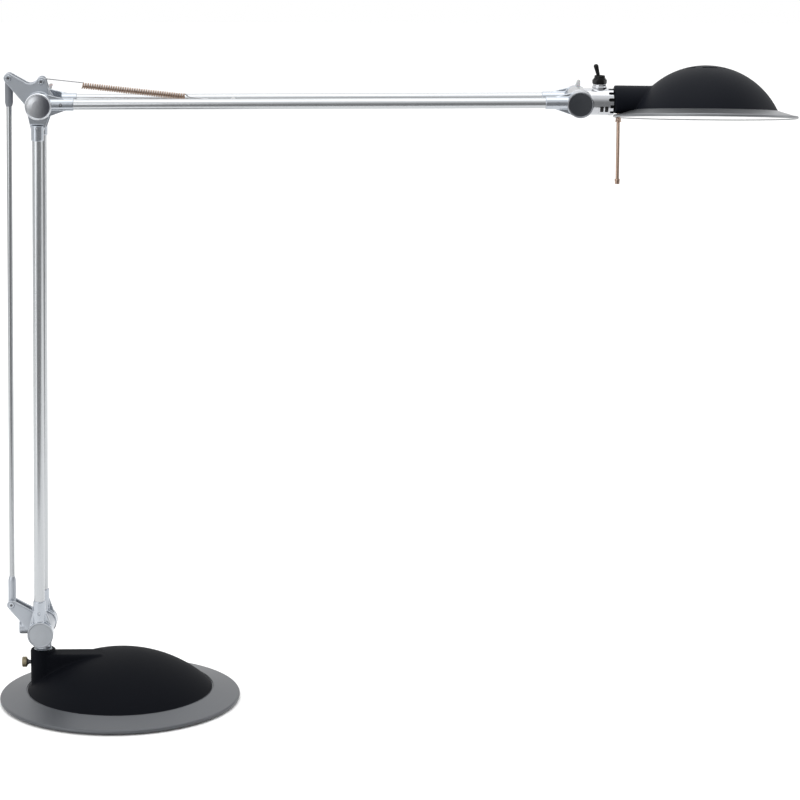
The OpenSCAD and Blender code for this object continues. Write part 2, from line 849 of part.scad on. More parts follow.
module shield_clips() {
    color("gray") at_shade_centre() for (a = [30, 150, 270]) rotate([0, 0, a])
        translate([glass_r - 3, -3, glass_z - 0.8]) difference() {
            cube([6.2, 6, 3.4]);
            translate([-1, -1, 0.8]) cube([4, 8, 3.4]);
        }
}

module handle_collar() {
    color("rosybrown") at_shade() translate([handle_x, 0, handle_top_z]) {
        translate([0, 0, -collar_h]) cylinder(r = 2.6, h = collar_h);
        translate([0, 0, -collar_h - 1.2]) cylinder(r = 3.1, h = 1.2);
        cylinder(r = 1.5, h = 5.3);
    }
}

handle_foot_z = handle_top_z - collar_h - 1.2 - handle_len;

module handle_rod() {
    color("rosybrown") at_shade() translate([handle_x, 0, handle_foot_z])
        cylinder(r = 1.7, h = handle_len);
}

module handle_knob() {
    color("rosybrown") at_shade() translate([handle_x, 0, handle_foot_z]) {
        translate([0, 0, -1]) cylinder(r = 2.6, h = 1);
        translate([0, 0, -5.2]) cylinder(r1 = 2.2, r2 = 2.6, h = 4.2);
    }
}

base_plate();
felt_pad();
dome_cover();
dome_screws();
ballast_ring();
transformer();
transformer_bolt();
post_bush();
cord_gland();
swivel_lock_screw();
post_casting();
stub_plug();
lower_rod_pin();
lower_tube_front();
lower_tube_rear();
lower_foot_fittings();
lower_top_fittings();
lower_set_screws();
lower_pivot_bolt();
lower_joint_caps();
lower_arm_washers();
elbow_bolt();
elbow_cap();
lower_lead();
parallel_rod();
rod_lower_end();
rod_upper_end();
elbow_plate();
upper_rod_pin();
spring_pin();
upper_tube_front();
upper_tube_rear();
upper_elbow_fittings();
upper_head_fittings();
upper_set_screws();
spring_cross_bar();
spring_coil();
spring_hook_wire();
head_bolt();
head_cap();
head_washers();
upper_lead();
elbow_clamp_nut();
head_clamp_nut();
barrel_casting();
barrel_pad();
switch_body();
switch_nut();
toggle_lever();
shade_dome();
swivel_spigot();
skirt_ring();
reflector();
lampholder();
halogen_capsule();
glass_shield();
shield_clips();
handle_collar();
handle_rod();
handle_knob();
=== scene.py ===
"""Looks of a swing arm desk lamp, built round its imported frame.

Every piece is modelled in millimetres in the plain frame of the part that it belongs to, and is then
set down in the frame of the whole lamp, in metres.
"""

import json
import math

import bpy
from mathutils import Matrix, Vector


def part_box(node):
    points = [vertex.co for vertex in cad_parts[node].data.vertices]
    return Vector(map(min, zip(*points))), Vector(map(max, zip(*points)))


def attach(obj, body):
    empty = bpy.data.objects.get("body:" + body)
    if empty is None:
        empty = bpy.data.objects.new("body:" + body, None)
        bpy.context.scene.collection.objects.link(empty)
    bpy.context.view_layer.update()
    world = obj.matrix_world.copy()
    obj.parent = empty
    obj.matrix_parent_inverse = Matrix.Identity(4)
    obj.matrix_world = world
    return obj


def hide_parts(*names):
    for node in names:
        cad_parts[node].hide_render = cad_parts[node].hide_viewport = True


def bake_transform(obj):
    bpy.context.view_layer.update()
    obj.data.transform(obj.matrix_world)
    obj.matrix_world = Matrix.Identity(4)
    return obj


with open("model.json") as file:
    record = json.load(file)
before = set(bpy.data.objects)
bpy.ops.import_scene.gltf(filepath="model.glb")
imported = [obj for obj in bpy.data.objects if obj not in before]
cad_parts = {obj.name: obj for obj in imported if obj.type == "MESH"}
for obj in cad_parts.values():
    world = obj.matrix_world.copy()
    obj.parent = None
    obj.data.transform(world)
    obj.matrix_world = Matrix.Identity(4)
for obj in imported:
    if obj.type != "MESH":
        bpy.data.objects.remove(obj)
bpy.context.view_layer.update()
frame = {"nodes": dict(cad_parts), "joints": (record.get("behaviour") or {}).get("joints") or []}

bl_info = {
    "name": "Swing Arm Desk Lamp",
    "version": (1, 0, 0),
    "blender": (4, 5, 0),
    "location": "View3D > Sidebar > Lamp",
    "description": "Models the visible pieces of a swing arm desk lamp round its frame",
    "category": "Add Mesh",
}

MM = 0.001
JOINTS = {joint["name"]: joint for joint in frame["joints"]}
TURN = 2 * math.pi


def joint_place(name):
    """The position of a joint, as a vector in millimetres."""
    return Vector(JOINTS[name]["pos_m"]) / MM


POST = joint_place("lower_tilt")
ELBOW = joint_place("upper_tilt")
HEAD = joint_place("head_tilt")
ROD_PIN = joint_place("rod_swing") - POST
NECK_AXIS = Vector(JOINTS["head_swivel"]["axis"])
LOWER_LEAN = math.atan2(ELBOW.x - POST.x, ELBOW.z - POST.z)
UPPER_RISE = math.atan2(HEAD.z - ELBOW.z, HEAD.x - ELBOW.x)
HEAD_PITCH = math.atan2(-NECK_AXIS.z, NECK_AXIS.x)
LOWER_LENGTH = (ELBOW - POST).length
UPPER_LENGTH = (HEAD - ELBOW).length


# ---- sizes and colours that a user would change ----

def length(name, description, default):
    """A length property in metres."""
    return bpy.props.FloatProperty(name=name, description=description, default=default, unit="LENGTH",
                                   precision=4)


def colour(name, description, default):
    """A colour property."""
    return bpy.props.FloatVectorProperty(name=name, description=description, default=default,
                                         subtype="COLOR", min=0, max=1)


class LampSizes(bpy.types.PropertyGroup):
    """Sizes of the lamp's pieces."""
    rim_radius: length("Rim rounding", "Rounding of the base plate's rim", 0.0021)
    dome_wall: length("Dome wall", "Wall of the black dome on the base", 0.0025)
    shade_wall: length("Shade wall", "Wall of the black shade", 0.002)
    tube_diameter: length("Tube diameter", "Outer diameter of the arm tubes", 0.0103)
    rod_diameter: length("Rod diameter", "Diameter of the parallelogram rod", 0.0052)
    spring_wire: length("Spring wire", "Diameter of the spring's wire", 0.0013)
    spring_diameter: length("Spring diameter", "Outer diameter of the spring", 0.0067)
    shade_roll: bpy.props.FloatProperty(name="Shade roll", description="Turn of the shade about its neck",
                                        default=math.radians(8.2), subtype="ANGLE")


class LampColours(bpy.types.PropertyGroup):
    """Colours of the lamp's finishes."""
    moulding: colour("Moulding", "Black mouldings of the base and the shade", (0.0030, 0.0036, 0.0054))
    tube: colour("Tubes", "Satin anodised tubes", (0.45, 0.465, 0.48))
    casting: colour("Castings", "Silver lacquer on the castings", (0.37, 0.395, 0.43))
    plate: colour("Base plate", "Satin lacquer on the base plate", (0.085, 0.09, 0.098))
    copper: colour("Spring", "Copper-coloured spring wire", (0.30, 0.215, 0.165))
    rose: colour("Handle", "Rose-coloured handle", (0.37, 0.27, 0.215))
    floor: colour("Floor", "Pale floor", (0.93, 0.93, 0.93))


class LampView(bpy.types.PropertyGroup):
    """The camera's place."""
    place: bpy.props.FloatVectorProperty(name="Place", description="Where the camera stands",
                                         default=(0.1817, -2.891, 0.9397), subtype="TRANSLATION")
    yaw: bpy.props.FloatProperty(name="Yaw", description="Turn to the right", subtype="ANGLE",
                                 default=math.radians(1.949))
    pitch: bpy.props.FloatProperty(name="Pitch", description="Tilt downwards", subtype="ANGLE",
                                   default=math.radians(12.366))
    roll: bpy.props.FloatProperty(name="Roll", description="Turn about the line of sight", subtype="ANGLE",
                                  default=math.radians(0.23))
    lens: bpy.props.FloatProperty(name="Lens", description="Focal length in millimetres", default=135)


# ---- places of the lamp's parts ----

def turned(degrees, axis):
    """A turn about an axis."""
    return Matrix.Rotation(math.radians(degrees), 4, axis)


def moved(x=0, y=0, z=0):
    """A move."""
    return Matrix.Translation((x, y, z))


AT_BASE = Matrix.Identity(4)
AT_POST = moved(*POST)
AT_LOWER_ARM = AT_POST @ turned(math.degrees(LOWER_LEAN), "Y")
AT_ROD = AT_POST @ moved(*ROD_PIN) @ turned(math.degrees(LOWER_LEAN), "Y")
AT_ELBOW = moved(*ELBOW)
AT_UPPER_ARM = AT_ELBOW @ turned(-math.degrees(UPPER_RISE), "Y")
AT_HEAD_HUB = moved(*HEAD)
AT_HEAD = AT_HEAD_HUB @ turned(math.degrees(HEAD_PITCH), "Y")
LAID_DOWN = turned(90, "Y")
UPSIDE_DOWN = Matrix.Diagonal((1, 1, -1, 1))
TO_THE_REAR = Matrix.Diagonal((1, -1, 1, 1))


# ---- modelling helpers ----

def deselect():
    """Leaves every object unselected."""
    bpy.ops.object.select_all(action="DESELECT")


def take(piece):
    """Makes one object the only selected and active one."""
    deselect()
    piece.select_set(True)
    bpy.context.view_layer.objects.active = piece


def fresh(name):
    """Names the object that an operator has just added, and returns it."""
    piece = bpy.context.object
    piece.name = name
    piece.data.name = name
    return piece


def apply_modifier(piece, kind, **settings):
    """Adds a modifier with its settings and applies it."""
    take(piece)
    modifier = piece.modifiers.new(kind.title(), kind)
    for key, value in settings.items():
        setattr(modifier, key, value)
    bpy.ops.object.modifier_apply(modifier=modifier.name)
    return piece


def draw(name, points, closed):
    """A line of edges through the points, left in edit mode with all of it selected."""
    deselect()
    bpy.ops.mesh.primitive_plane_add(size=1)
    piece = fresh(name)
    bpy.ops.object.mode_set(mode="EDIT")
    bpy.ops.mesh.merge(type="CENTER")
    bpy.ops.transform.translate(value=points[0])
    route = points + [points[0]] if closed else points
    for a, b in zip(route, route[1:]):
        step = Vector(b) - Vector(a)
        bpy.ops.mesh.extrude_region_move(TRANSFORM_OT_translate={"value": step})
    bpy.ops.mesh.select_all(action="SELECT")
    bpy.ops.mesh.remove_doubles(threshold=1e-4)
    return piece


def tidy_faces():
    """Joins doubles, turns the faces outwards and leaves edit mode."""
    bpy.ops.mesh.select_all(action="SELECT")
    bpy.ops.mesh.remove_doubles(threshold=1e-4)
    bpy.ops.mesh.normals_make_consistent(inside=False)
    bpy.ops.object.mode_set(mode="OBJECT")


def lathe(name, outline, steps=96, closed=False, angle=TURN):
    """Turns an outline of (radius, height) points about Z. A part turn is closed by faces at its ends."""
    piece = draw(name, [(r, 0, z) for r, z in outline], closed)
    if angle < TURN:
        bpy.ops.mesh.edge_face_add()
    bpy.ops.mesh.spin(steps=steps, angle=-angle, center=(0, 0, 0), axis=(0, 0, 1))
    tidy_faces()
    return piece


def prism(name, outline, low, high):
    """A flat outline of (x, z) points with thickness from y = low to y = high."""
    piece = draw(name, [(x, low, z) for x, z in outline], True)
    bpy.ops.mesh.edge_face_add()
    bpy.ops.mesh.extrude_region_move(TRANSFORM_OT_translate={"value": (0, high - low, 0)})
    tidy_faces()
    return piece


def cylinder(name, radius, low, high, axis="Z", at=(0, 0, 0), steps=64):
    """A round bar along an axis, from low to high."""
    deselect()
    centre = Vector(at)
    centre["XYZ".index(axis)] += (low + high) / 2
    turn = {"X": (0, math.pi / 2, 0), "Y": (math.pi / 2, 0, 0), "Z": (0, 0, 0)}[axis]
    bpy.ops.mesh.primitive_cylinder_add(vertices=steps, radius=radius, depth=high - low, location=centre,
                                        rotation=turn)
    piece = fresh(name)
    bpy.ops.object.transform_apply()
    return piece


def block(name, low, high):
    """A box between two corners."""
    deselect()
    low, high = Vector(low), Vector(high)
    bpy.ops.mesh.primitive_cube_add(size=1, location=(low + high) / 2)
    piece = fresh(name)
    piece.scale = high - low
    bpy.ops.object.transform_apply()
    return piece


def moved_by(piece, matrix):
    """Moves a piece's mesh by a matrix in millimetres."""
    take(piece)
    piece.matrix_world = matrix
    bpy.ops.object.transform_apply()
    if matrix.determinant() < 0:
        bpy.ops.object.mode_set(mode="EDIT")
        tidy_faces()
    return piece


def copied(piece, name, matrix):
    """A copy with its own mesh, moved by a matrix in millimetres."""
    take(piece)
    bpy.ops.object.duplicate()
    return moved_by(fresh(name), matrix)


def joined(name, *pieces):
    """Several objects as one."""
    deselect()
    for piece in pieces:
        piece.select_set(True)
    bpy.context.view_layer.objects.active = pieces[0]
    bpy.ops.object.join()
    return fresh(name)


def fused(name, pieces, voxel, rounds):
    """Overlapping solids as one cast skin with softened corners."""
    piece = joined(name, *pieces)
    apply_modifier(piece, "REMESH", mode="VOXEL", voxel_size=voxel)
    apply_modifier(piece, "SMOOTH", factor=0.5, iterations=rounds)
    return piece


def trimmed(piece, height, keep="above"):
    """Cuts the piece flat at a height and closes it."""
    take(piece)
    bpy.ops.object.mode_set(mode="EDIT")
    bpy.ops.mesh.select_all(action="SELECT")
    bpy.ops.mesh.bisect(plane_co=(0, 0, height), plane_no=(0, 0, 1), use_fill=True,
                        clear_inner=keep == "above", clear_outer=keep == "below")
    tidy_faces()
    return piece


def carved(piece, operation, others):
    """Works each other solid into the piece by a boolean, and removes it."""
    for other in others:
        apply_modifier(piece, "BOOLEAN", operation=operation, solver="EXACT", object=other)
        bpy.data.objects.remove(other)
    return piece


def cut(piece, *cutters):
    """Takes each cutter away from the piece."""
    return carved(piece, "DIFFERENCE", cutters)


def shared(piece, *others):
    """Keeps what the piece has in common with each other solid."""
    return carved(piece, "INTERSECT", others)


def bevelled(piece, width, segments=3):
    """Rounds every edge that is sharper than 40 degrees."""
    return apply_modifier(piece, "BEVEL", width=width, segments=segments, limit_method="ANGLE",
                          angle_limit=math.radians(40), use_clamp_overlap=True)


def arc(centre, radius, start, end, steps):
    """Points (x, z) along an arc, its angles in degrees."""
    x, z = centre
    turns = [math.radians(start + (end - start) * i / steps) for i in range(steps + 1)]
    return [(x + radius * math.cos(t), z + radius * math.sin(t)) for t in turns]


def rounded(points, radius, steps=4, closed=False):
    """The points with each corner turned into a short arc that is tangent to both of its sides."""
    result = []
    count = len(points)
    for i, point in enumerate(points):
        if not closed and i in (0, count - 1):
            result.append(tuple(point))
            continue
        here = Vector(point).to_3d()
        before = Vector(points[i - 1]).to_3d() - here
        after = Vector(points[(i + 1) % count]).to_3d() - here
        half = before.angle(after) / 2
        reach = min(radius / math.tan(half), before.length * 0.45, after.length * 0.45)
        size = reach * math.tan(half)
        if math.pi / 2 - half < 0.02:
            result.append(tuple(point))
            continue
        first, last = here + before.normalized() * reach, here + after.normalized() * reach
        centre = here + (before.normalized() + after.normalized()).normalized() * (size / math.sin(half))
        for step in range(steps + 1):
            ray = (first - centre).lerp(last - centre, step / steps)
            result.append(tuple(centre + ray.normalized() * size)[:2])
    return result


def bar_side(radius, low, high, soft):
    """The outline of a round bar from low to high, with softened edges."""
    return rounded([(0, low), (radius, low), (radius, high), (0, high)], soft)


def link_outline(c1, r1, c2, r2, steps=20):
    """The outline of two circles joined by their common tangents."""
    gap = Vector(c2[:2]) - Vector(c1[:2])
    along = math.degrees(math.atan2(gap.y, gap.x))
    open_by = math.degrees(math.acos((r1 - r2) / gap.length))
    far = arc(c2, r2, along - open_by, along + open_by, steps)
    near = arc(c1, r1, along + open_by, along + 360 - open_by, steps)
    return far + near


FINISHES = {}


def finished(piece, place, body, finish, node, smooth=35):
    """Sets a modelled piece down in the lamp, and gives it its body, its finish and its shading."""
    take(piece)
    piece.matrix_world = Matrix.Scale(MM, 4) @ place
    bpy.ops.object.transform_apply()
    if place.determinant() < 0:
        bpy.ops.object.mode_set(mode="EDIT")
        bpy.ops.mesh.select_all(action="SELECT")
        bpy.ops.mesh.normals_make_consistent(inside=False)
        bpy.ops.object.mode_set(mode="OBJECT")
    bpy.ops.object.shade_smooth_by_angle(angle=math.radians(smooth))
    piece.data.materials.clear()
    piece.data.materials.append(FINISHES[finish])
    piece.name = piece.name.split(".")[0] + "_model"
    if body:
        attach(piece, body)
    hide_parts(node)
    return piece


# ---- finishes ----

class Signal:
    """A value in a finish that varies over a surface, used in ordinary sums."""

    def __init__(self, recipe, socket):
        self.recipe = recipe
        self.socket = socket

    def __add__(self, other):
        return self.recipe.math("ADD", self, other)

    def __mul__(self, other):
        return self.recipe.math("MULTIPLY", self, other)

    def __truediv__(self, other):
        return self.recipe.math("DIVIDE", self, other)

    def __rsub__(self, other):
        return self.recipe.math("SUBTRACT", other, self)

    __radd__ = __add__
    __rmul__ = __mul__


class Recipe:
    """A finish being put together from nodes."""

    def __init__(self, name, owner=None):
        self.material = owner or bpy.data.materials.new(name)
        self.material.use_nodes = True
        self.tree = self.material.node_tree
        self.shader = self.tree.nodes.get("Principled BSDF")

    def node(self, kind, inputs=(), stops=(), **settings):
        """Adds a node with its settings and inputs. Returns its first output in use."""
        node = self.tree.nodes.new("ShaderNode" + kind)
        for key, value in settings.items():
            setattr(node, key, value)
        if stops:
            ramp = node.color_ramp
            for element, (at, shade) in zip(list(ramp.elements), stops):
                element.position = at
                element.color = shade
            for at, shade in stops[2:]:
                ramp.elements.new(at).color = shade
        for key, value in dict(inputs).items():
            self.feed(node.inputs[key], value)
        return Signal(self, next(out for out in node.outputs if out.enabled))

    def feed(self, socket, value):
        """Links a signal to a socket, or sets the socket."""
        if isinstance(value, Signal):
            self.tree.links.new(value.socket, socket)
        else:
            socket.default_value = value

    def math(self, operation, a, b):
        """A sum of two values."""
        return self.node("Math", {0: a, 1: b}, operation=operation)

    def place(self, at, scale=(1, 1, 1)):
        """Object coordinates in a part's own frame, in millimetres, each multiplied by its scale."""
        coordinates = self.tree.nodes.new("ShaderNodeTexCoord")
        spot = Signal(self, coordinates.outputs["Object"])
        frame_of_part = {"Vector": spot, "Location": at.translation * MM, "Rotation": at.to_euler(),
                         "Scale": tuple(MM / s for s in scale)}
        return self.node("Mapping", frame_of_part, vector_type="TEXTURE")

    def noise(self, spot, scale=1, detail=2, roughness=0.5):
        """Smooth noise round a half; a scale of one has a cell of a millimetre."""
        return self.node("TexNoise", {"Vector": spot, "Scale": scale, "Detail": detail,
                                      "Roughness": roughness})

    def axes(self, spot):
        """The x, y and z of a place."""
        parts = self.tree.nodes.new("ShaderNodeSeparateXYZ")
        self.feed(parts.inputs[0], spot)
        return [Signal(self, output) for output in parts.outputs]

    def radius(self, spot):
        """The distance from the part's Z axis."""
        x, y, _ = self.axes(spot)
        return self.math("SQRT", x * x + y * y, 0)

    def fade(self, value, low, high, start, end, how="SMOOTHSTEP"):
        """A value that goes from start to end while another goes from low to high."""
        return self.node("MapRange", {"Value": value, "From Min": low, "From Max": high, "To Min": start,
                                      "To Max": end}, interpolation_type=how)

    def tint(self, amount, dark, light):
        """A colour between two, by an amount from 0 to 1."""
        return self.node("ValToRGB", {0: amount}, stops=((0, (*dark, 1)), (1, (*light, 1))))

    def shades(self, amount, shade, darker, paler):
        """A colour made darker and paler by two factors, by an amount from 0 to 1."""
        return self.tint(amount, lighter(shade, darker), lighter(shade, paler))

    def bump(self, height, depth):
        """Relief whose full depth is given in millimetres."""
        relief = self.node("Bump", {"Height": height, "Distance": depth * MM, "Strength": 1.0})
        self.feed(self.shader.inputs["Normal"], relief)

    def done(self, **values):
        """Sets the shader's own sockets, and returns the material."""
        for key, value in values.items():
            self.feed(self.shader.inputs[key.replace("_", " ")], value)
        return self.material


def lighter(shade, factor):
    """A colour multiplied by a factor."""
    return tuple(min(1, part * factor) for part in shade)


def metal(name, shade, at=AT_BASE, grain=(1, 1, 1), rough=0.3, spread=0.1, relief=0.004, metallic=1.0,
          scale=1.0, **sockets):
    """Metal with a drawn, turned or cast grain along the part's axes."""
    recipe = Recipe(name)
    spot = recipe.place(at, grain)
    fine = recipe.noise(spot, scale, 3, 0.6)
    wide = recipe.noise(recipe.place(at), 0.03, 2)
    recipe.bump(fine, relief)
    return recipe.done(Base_Color=recipe.shades(fine * 0.6 + wide * 0.4, shade, 0.92, 1.08),
                       Roughness=rough - spread / 2 + fine * spread * 0.6 + wide * spread * 0.4,
                       Metallic=metallic, **sockets)


def turned_metal(name, shade, at, rough=0.3, spread=0.1, relief=0.003, pitch=0.5, metallic=1.0, **sockets):
    """Metal with fine rings round the part's Z axis, as a lathe leaves them."""
    recipe = Recipe(name)
    spot = recipe.place(at)
    ring = recipe.radius(spot) / pitch
    rings = recipe.noise(recipe.node("CombineXYZ", {0: ring}), 1, 2, 0.7)
    wide = recipe.noise(spot, 0.03, 2)
    recipe.bump(rings, relief)
    return recipe.done(Base_Color=recipe.shades(rings * 0.5 + wide * 0.5, shade, 0.92, 1.08),
                       Roughness=rough - spread / 2 + rings * spread * 0.5 + wide * spread * 0.5,
                       Metallic=metallic, **sockets)


def painted_reflection_cap(name, at, dark, light, left, right):
    """A turned cap with painted reflection: the face is painted from left to right between two tones, inside
    a rim painted in the light tone as a highlight.
    """
    recipe = Recipe(name)
    spot = recipe.place(at @ turned(90, "X"))
    # painted reflection: the face's tone is painted across it from left to right
    face = recipe.fade(recipe.axes(spot)[0], -11, 11, left, right)
    # painted highlight: the rim takes the light tone all round
    rim = recipe.fade(recipe.radius(spot), 11.1, 11.5, 0, 1, "LINEAR")
    rings = recipe.noise(recipe.node("CombineXYZ", {0: recipe.radius(spot) / 0.35}), 1, 2, 0.7)
    recipe.bump(rings, 0.003)
    return recipe.done(Base_Color=recipe.tint(face * (1 - rim) + rim, dark, light),
                       Roughness=0.2 + rings * 0.08, Metallic=1.0)


def moulding(name, shade, rough=0.5, grain=2.2, relief=0.012, **sockets):
    """Moulded plastic or textured lacquer with a fine grain and faint handling marks."""
    recipe = Recipe(name)
    spot = recipe.place(AT_BASE)
    fine = recipe.noise(spot, grain, 2, 0.55)
    wide = recipe.noise(spot, 0.025, 3)
    recipe.bump(fine, relief)
    return recipe.done(Base_Color=recipe.shades(wide * 0.7 + fine * 0.3, shade, 0.85, 1.18),
                       Roughness=rough - 0.05 + wide * 0.07 + fine * 0.04, **sockets)


def felt(name, shade):
    """Dark felt with a nap."""
    recipe = Recipe(name)
    spot = recipe.place(AT_BASE)
    nap = recipe.noise(spot, 1.6, 6, 0.75)
    recipe.bump(nap, 0.25)
    return recipe.done(Base_Color=recipe.shades(nap, shade, 0.5, 1.6), Roughness=0.95, Sheen_Weight=0.3)


def wound_tape(name, shade):
    """Tape wound round a ring, with its overlaps."""
    recipe = Recipe(name)
    spot = recipe.place(AT_BASE)
    x, y, _ = recipe.axes(spot)
    laps = recipe.math("FRACT", recipe.math("ARCTAN2", y, x) * 6, 0)
    recipe.bump(laps, 0.3)
    return recipe.done(Base_Color=recipe.shades(laps, shade, 0.8, 1), Roughness=0.35 + laps * 0.1)


def make_finishes(colours):
    """All of the lamp's finishes by name."""
    centre = at_shade() @ moved(SHADE_X, 0, 0)
    tube, cast, plate = tuple(colours.tube), tuple(colours.casting), tuple(colours.plate)
    black, copper, rose = tuple(colours.moulding), tuple(colours.copper), tuple(colours.rose)
    drawn = dict(rough=0.24, spread=0.12, relief=0.0015, scale=1.0)
    return {
        "lower_tube": metal("satin_tube_lower", tube, AT_LOWER_ARM, (6, 6, 0.02), **drawn),
        "upper_tube": metal("satin_tube_upper", tube, AT_UPPER_ARM, (0.02, 6, 6), **drawn),
        "rod": metal("satin_rod", lighter(tube, 0.85), AT_ROD, (8, 8, 0.03), **drawn),
        "casting": metal("silver_casting", cast, rough=0.36, spread=0.12, relief=0.010, metallic=0.85,
                         scale=1.4, Coat_Weight=0.12, Coat_Roughness=0.3),
        "fitting": metal("polished_fitting", lighter(cast, 1.1), rough=0.25, spread=0.08, relief=0.006,
                         scale=1.4),
        "matt_cap": metal("matt_cap", (0.33, 0.35, 0.375), rough=0.48, spread=0.1, relief=0.006, metallic=0.7,
                          scale=3),
        # Both caps are one turned metal with painted reflections: the elbow's is painted bright on the left,
        # the head's is painted dark inside a light rim.
        "cap_painted_bright_reflection": painted_reflection_cap("cap_painted_bright_reflection", AT_ELBOW, (0.13, 0.135, 0.16), (0.66, 0.68, 0.71), 1.0, 0.0),
        "cap_painted_dark_reflection": painted_reflection_cap("cap_painted_dark_reflection", AT_HEAD_HUB, (0.085, 0.092, 0.105), (0.32, 0.33, 0.35), 0.0, 0.12),
        "barrel": metal("bright_barrel", (0.44, 0.45, 0.47), AT_HEAD, (6, 0.3, 0.3), rough=0.2, spread=0.1,
                        relief=0.003, scale=0.7),
        "plate": turned_metal("satin_base_plate", plate, AT_BASE, rough=0.42, spread=0.08, relief=0.002,
                              pitch=0.6, metallic=0.75),
        "skirt": turned_metal("silver_skirt", (0.185, 0.192, 0.20), centre, rough=0.36, relief=0.002,
                              pitch=0.6, metallic=0.85),
        "spring": metal("copper_spring", copper, rough=0.3, relief=0.004, scale=2),
        "wire": metal("spring_wire", (0.36, 0.36, 0.37), rough=0.28, relief=0.003, scale=2),
        "handle": metal("rose_handle", rose, centre, (3, 3, 0.2), rough=0.27, relief=0.002),
        "zinc": metal("zinc_plating", (0.40, 0.40, 0.39), rough=0.34, relief=0.004, scale=1.5),
        "dark_steel": metal("blackened_steel", (0.09, 0.09, 0.095), rough=0.42, relief=0.004, metallic=0.8,
                            scale=1.5),
        "brass": metal("nickel_brass", (0.26, 0.23, 0.16), rough=0.34, relief=0.006, scale=2),
        "iron": metal("cast_iron", (0.10, 0.10, 0.11), rough=0.7, spread=0.2, relief=0.15, scale=0.9),
        "dome": moulding("black_moulding", black, rough=0.62, Specular_IOR_Level=0.035),
        "shade": moulding("black_shade", lighter(black, 1.8), rough=0.55, Specular_IOR_Level=0.06),
        "gloss": moulding("black_gloss", (0.004, 0.004, 0.0045), rough=0.36, grain=1.0, relief=0.002,
                          Specular_IOR_Level=0.2),
        "grey_sleeve": moulding("grey_sleeve", (0.15, 0.16, 0.18), rough=0.4, relief=0.004),
        "rubber": moulding("black_rubber", (0.014, 0.014, 0.014), rough=0.72, grain=1.2, relief=0.02),
        "nylon": moulding("pale_nylon", (0.52, 0.54, 0.56), rough=0.38, relief=0.006,
                          Subsurface_Weight=0.08),
        "ceramic": moulding("ceramic", (0.80, 0.76, 0.66), rough=0.45, grain=0.8, relief=0.02),
        "white": moulding("white_reflector", (0.90, 0.90, 0.88), rough=0.32, grain=0.5, relief=0.01),
        "felt": felt("black_felt", (0.02, 0.02, 0.022)),
        "tape": wound_tape("transformer_tape", (0.70, 0.55, 0.16)),
        "glass": moulding("clear_glass", (0.94, 0.97, 0.96), rough=0.1, grain=0.2, relief=0.002,
                          Transmission_Weight=1.0, IOR=1.46),
    }


# ---- sizes taken from the frame, in millimetres ----

def low(node):
    """The lowest corner of a node."""
    return Vector(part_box(node)[0]) / MM


def high(node):
    """The highest corner of a node."""
    return Vector(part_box(node)[1]) / MM


BASE_R = high("base_plate").x
FELT_R = high("felt_pad").x
FELT_TOP = high("felt_pad").z
SEAT = high("base_plate").z
DOME_R = high("dome_cover").x
TOWER_TOP = high("dome_cover").z
SHADE_X = 124.2
SHADE_R = 69.4
SHADE_RISE = 43
SHADE_FOOT = -6.7
LAMP_Z = 1.8
DOME_TOP = 48.6
RIDGE_TOP = 48.5
RIDGE_HALF = 12
TOWER_R = 12.7
GLAND_Z = SEAT + 6.4
LOCK_Z = 38.3


def at_shade():
    """The frame of the shade, turned about its neck."""
    return AT_HEAD @ turned(-math.degrees(bpy.context.scene.lamp_sizes.shade_roll), "X")


# ---- the base ----

def base_plate(sizes):
    """The steel plate with its rounded rim and its low cone."""
    edge = sizes.rim_radius / MM
    middle = FELT_TOP + edge
    rim = arc((BASE_R - edge, middle), edge, -90, 90, 10)
    groove = [(DOME_R + 1.3, SEAT - 0.1), (DOME_R + 0.9, SEAT - 0.9), (DOME_R, SEAT - 0.9),
              (DOME_R - 0.5, SEAT)]
    piece = lathe("base_plate", [(0, FELT_TOP)] + rim + groove + [(0, SEAT)], 180)
    finished(piece, AT_BASE, "base", "plate", "base_plate")


def felt_pad():
    """The felt under the plate."""
    pad = lathe("felt_pad", bar_side(FELT_R, 0, FELT_TOP, 0.4))
    finished(pad, AT_BASE, "base", "felt", "felt_pad")


def cap_outline(radius, height, foot, skirt):
    """A shallow dome's outline from its apex down to its foot, and on below it by the skirt."""
    sphere = (radius * radius + height * height) / (2 * height)
    centre = foot + height - sphere
    low_angle = math.degrees(math.asin((foot - skirt - centre) / sphere))
    return arc((0, centre), sphere, 90, low_angle, 48)


def solid_dome(name, radius, rise, foot, below, steps=128):
    """A domed solid that goes on below its foot."""
    return lathe(name, cap_outline(radius, rise, foot, below) + [(0, foot - below)], steps)


def hollow(radius, rise, wall, foot, below):
    """A cutter that leaves a wall of even thickness under a dome."""
    sphere = (radius ** 2 + rise ** 2) / (2 * rise)
    inner = math.sqrt((sphere - wall) ** 2 - (sphere - rise) ** 2)
    return solid_dome("inside", inner, rise - wall, foot, below, 96)


def dome_cover(sizes):
    """The black dome with its tower for the post and the ridge that joins them."""
    rise = DOME_TOP - SEAT
    post = POST.x
    skirt = 6
    outer = solid_dome("dome_outer", DOME_R, rise, SEAT, skirt)
    tower = moved_by(lathe("tower", bar_side(TOWER_R, SEAT - skirt, TOWER_TOP, 1.8)), moved(post, 0, 0))
    ridge = bevelled(block("ridge", (post, -RIDGE_HALF, SEAT - skirt), (-16, RIDGE_HALF, RIDGE_TOP)), 2.6)
    piece = fused("dome_cover", [outer, tower, ridge], 0.85, 16)
    piece = trimmed(piece, SEAT)
    inside = hollow(DOME_R, rise, sizes.dome_wall / MM, SEAT, 3)
    bore = cylinder("bore", 9.4, SEAT - 5, 60, at=(post, 0, 0))
    gland_hole = cylinder("gland_hole", 5, 70, 96, "Y", (0, 0, GLAND_Z), 32)
    screw_hole = cylinder("screw_hole", 2.2, post - 20, post, "X", (0, 0, LOCK_Z), 24)
    cut(piece, inside, bore, gland_hole, screw_hole)
    finished(piece, AT_BASE, "base", "dome", "dome_cover", smooth=40)


